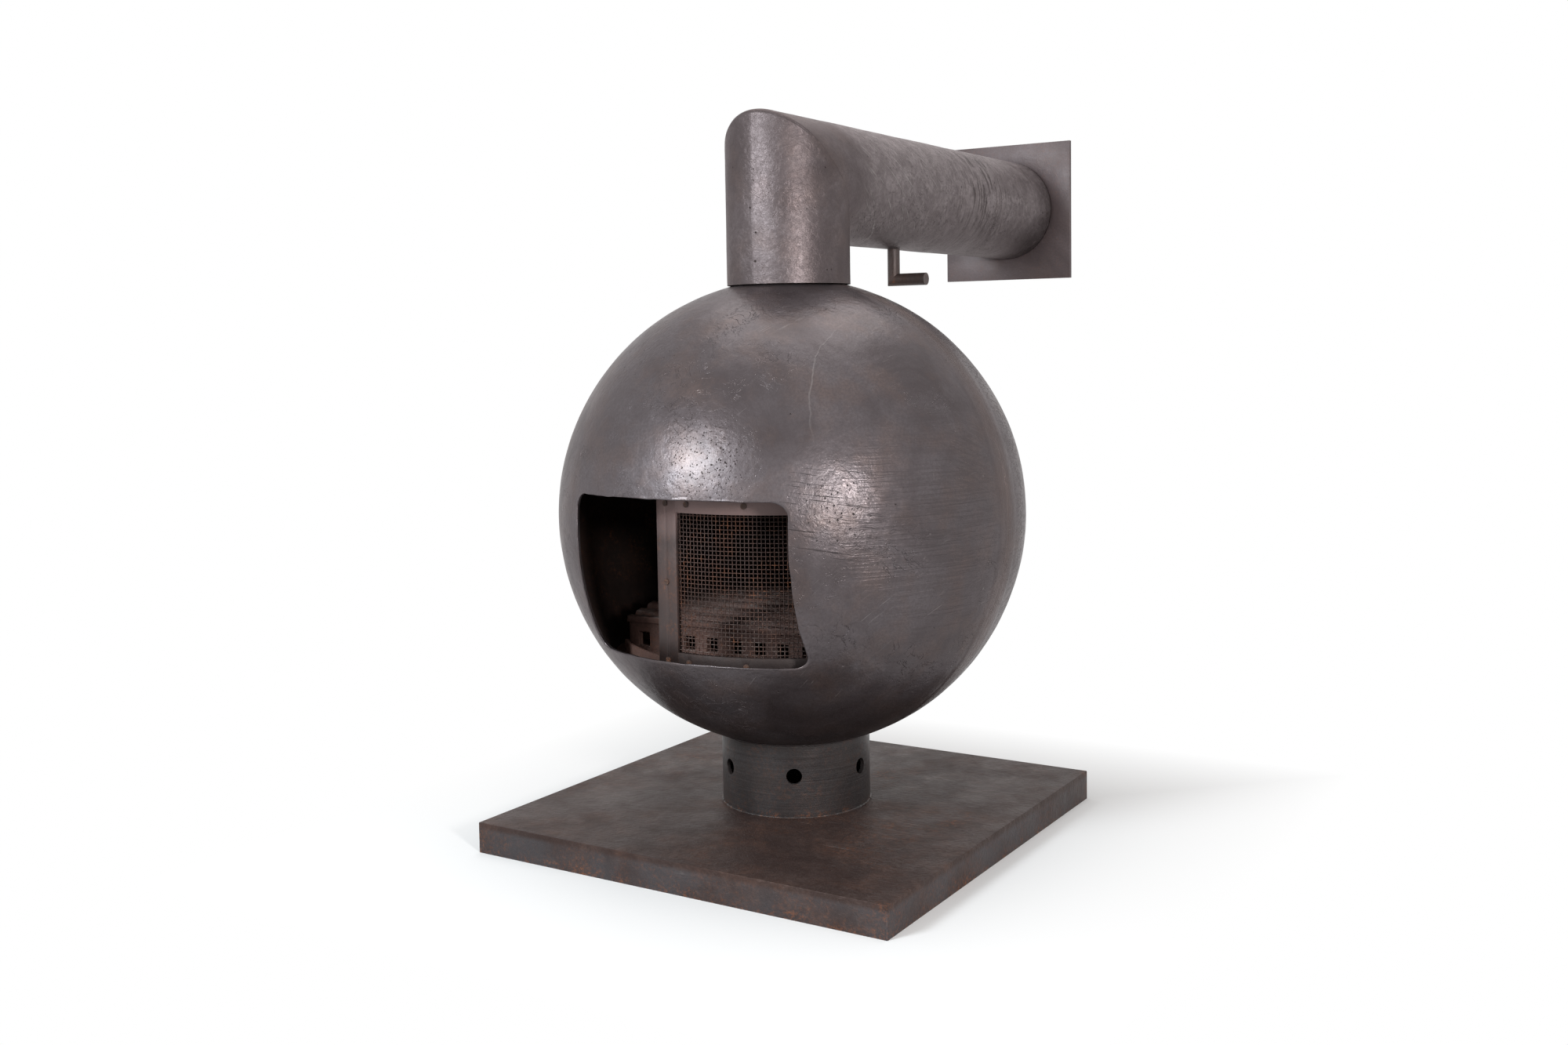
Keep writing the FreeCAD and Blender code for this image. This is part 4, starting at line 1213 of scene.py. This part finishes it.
def make_hearth():
    """Hearth plate and skirts as one shell with eased edges, open below."""
    floor_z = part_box("hearth_skirt_front")[0].z
    centre = (hearth_low + hearth_high) / 2
    size = hearth_high - hearth_low
    mesh = bmesh.new()
    bmesh.ops.create_cube(mesh, size=1.0)
    for vertex in mesh.verts:
        vertex.co.x = centre.x + vertex.co.x * size.x
        vertex.co.y = centre.y + vertex.co.y * size.y
        vertex.co.z = floor_z if vertex.co.z < 0 else hearth_high.z
    bottom = min(mesh.faces, key=lambda face: face.normal.z)
    bmesh.ops.delete(mesh, geom=[bottom], context="FACES_ONLY")
    edges = [edge for edge in mesh.edges if not edge.is_boundary]
    ease(mesh, edges, HEARTH_EDGE, HEARTH_EDGE_SEGMENTS)
    piece = add_piece("hearth_shell", finished_mesh(mesh, "hearth_shell"), ["hearth_steel"], "stove")
    sharpen(piece, PIECE_SMOOTH_LIMIT)
    wall = piece.modifiers.new("wall", "SOLIDIFY")
    wall.thickness = HEARTH_WALL
    wall.offset = -1.0
    skirts = ["hearth_skirt_" + side for side in ("front", "back", "left", "right")]
    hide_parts("hearth_top_plate", *skirts)


def paint_nodes():
    """Give every CAD node the material of its slot."""
    slots = {part["node"]: part["material_slot"] for part in frame["record"]["subparts"]}
    for name, piece in frame["nodes"].items():
        piece.data.materials.clear()
        piece.data.materials.append(materials[slots[name]])
        sharpen(piece, PIECE_SMOOTH_LIMIT)
    return slots


# Studio

def camera_axes():
    right = Vector((math.cos(CAMERA_TURN), math.sin(CAMERA_TURN), 0))
    flat = Vector((-math.sin(CAMERA_TURN), math.cos(CAMERA_TURN), 0))
    ahead = flat * math.cos(CAMERA_PITCH) + Vector((0, 0, math.sin(CAMERA_PITCH)))
    up = right.cross(ahead)
    tilted_right = right * math.cos(CAMERA_ROLL) + up * math.sin(CAMERA_ROLL)
    tilted_up = up * math.cos(CAMERA_ROLL) - right * math.sin(CAMERA_ROLL)
    return tilted_right, tilted_up, ahead


def make_camera():
    right, up, ahead = camera_axes()
    data = bpy.data.cameras.new("camera")
    data.sensor_width = CAMERA_SENSOR
    data.lens = CAMERA_LENS
    data.shift_x, data.shift_y = CAMERA_SHIFT
    camera = bpy.data.objects.new("camera", data)
    rotation = Matrix((right, up, -ahead)).transposed().to_4x4()
    camera.matrix_world = Matrix.Translation(CAMERA_PLACE) @ rotation
    bpy.context.scene.collection.objects.link(camera)
    bpy.context.scene.camera = camera


def make_lamp(name, lamp):
    """Soft square lamp that faces the ball and doesn't show itself."""
    right, up, ahead = camera_axes()
    place = lamp.direction
    heading = (right * place.x + up * place.y - ahead * place.z).normalized()
    data = bpy.data.lights.new(name, "AREA")
    data.shape = "SQUARE"
    data.size = lamp.size
    data.energy = lamp.power
    data.color = lamp.colour
    piece = bpy.data.objects.new(name, data)
    piece.matrix_world = heading.to_track_quat("Z", "Y").to_matrix().to_4x4()
    piece.location = ball_centre + heading * LAMP_DISTANCE
    piece.visible_camera = False
    bpy.context.scene.collection.objects.link(piece)


def make_world():
    """Background that is white where it shows and dimmer as a light."""
    world = bpy.data.worlds.new("studio")
    world.use_nodes = True
    bpy.context.scene.world = world
    nodes = Nodes(world.node_tree)
    strength = nodes.span(nodes.white_rays(), 0.0, 1.0, WORLD_FILL, 1.0)
    nodes.set(world.node_tree.nodes["Background"], Color=(1.0, 1.0, 1.0), Strength=strength)


def make_floor():
    """Pale floor that takes the shadow round the hearth and turns white further out."""
    half = FLOOR_HALF_SIDE
    mesh = bpy.data.meshes.new("floor")
    corners = [(-half, -half, 0), (half, -half, 0), (half, half, 0), (-half, half, 0)]
    mesh.from_pydata(corners, [], [(0, 1, 2, 3)])
    floor = bpy.data.objects.new("floor", mesh)
    bpy.context.scene.collection.objects.link(floor)
    material = new_material("floor")
    nodes = Nodes(material.node_tree)
    seen = nodes.white_rays()
    away = nodes.most(*(nodes.math("ABSOLUTE", nodes.along(axis)) for axis in (X, Y)))
    fade = nodes.span(away, hearth_high.x, hearth_high.x + FLOOR_FADE, FLOOR_WHITE_SHARE, 1.0)
    matt = nodes.add("BsdfDiffuse", Color=nodes.span(seen, 0.0, 1.0, FLOOR_GREY, FLOOR_PALE))
    blend = nodes.add("MixShader")
    nodes.feed(blend.inputs[0], nodes.product(seen, fade))
    nodes.feed(blend.inputs[1], matt.outputs[0])
    nodes.feed(blend.inputs[2], nodes.add("Emission").outputs[0])
    nodes.show(blend)
    mesh.materials.append(material)


material_slots = paint_nodes()
make_ball()
make_flue()
make_welds()
make_woven_mesh()
make_hearth()
dress_pieces(material_slots)
make_camera()
for lamp_name, lamp in LAMPS.items():
    make_lamp(lamp_name, lamp)
make_world()
make_floor()
bpy.context.scene.view_settings.view_transform = "Standard"
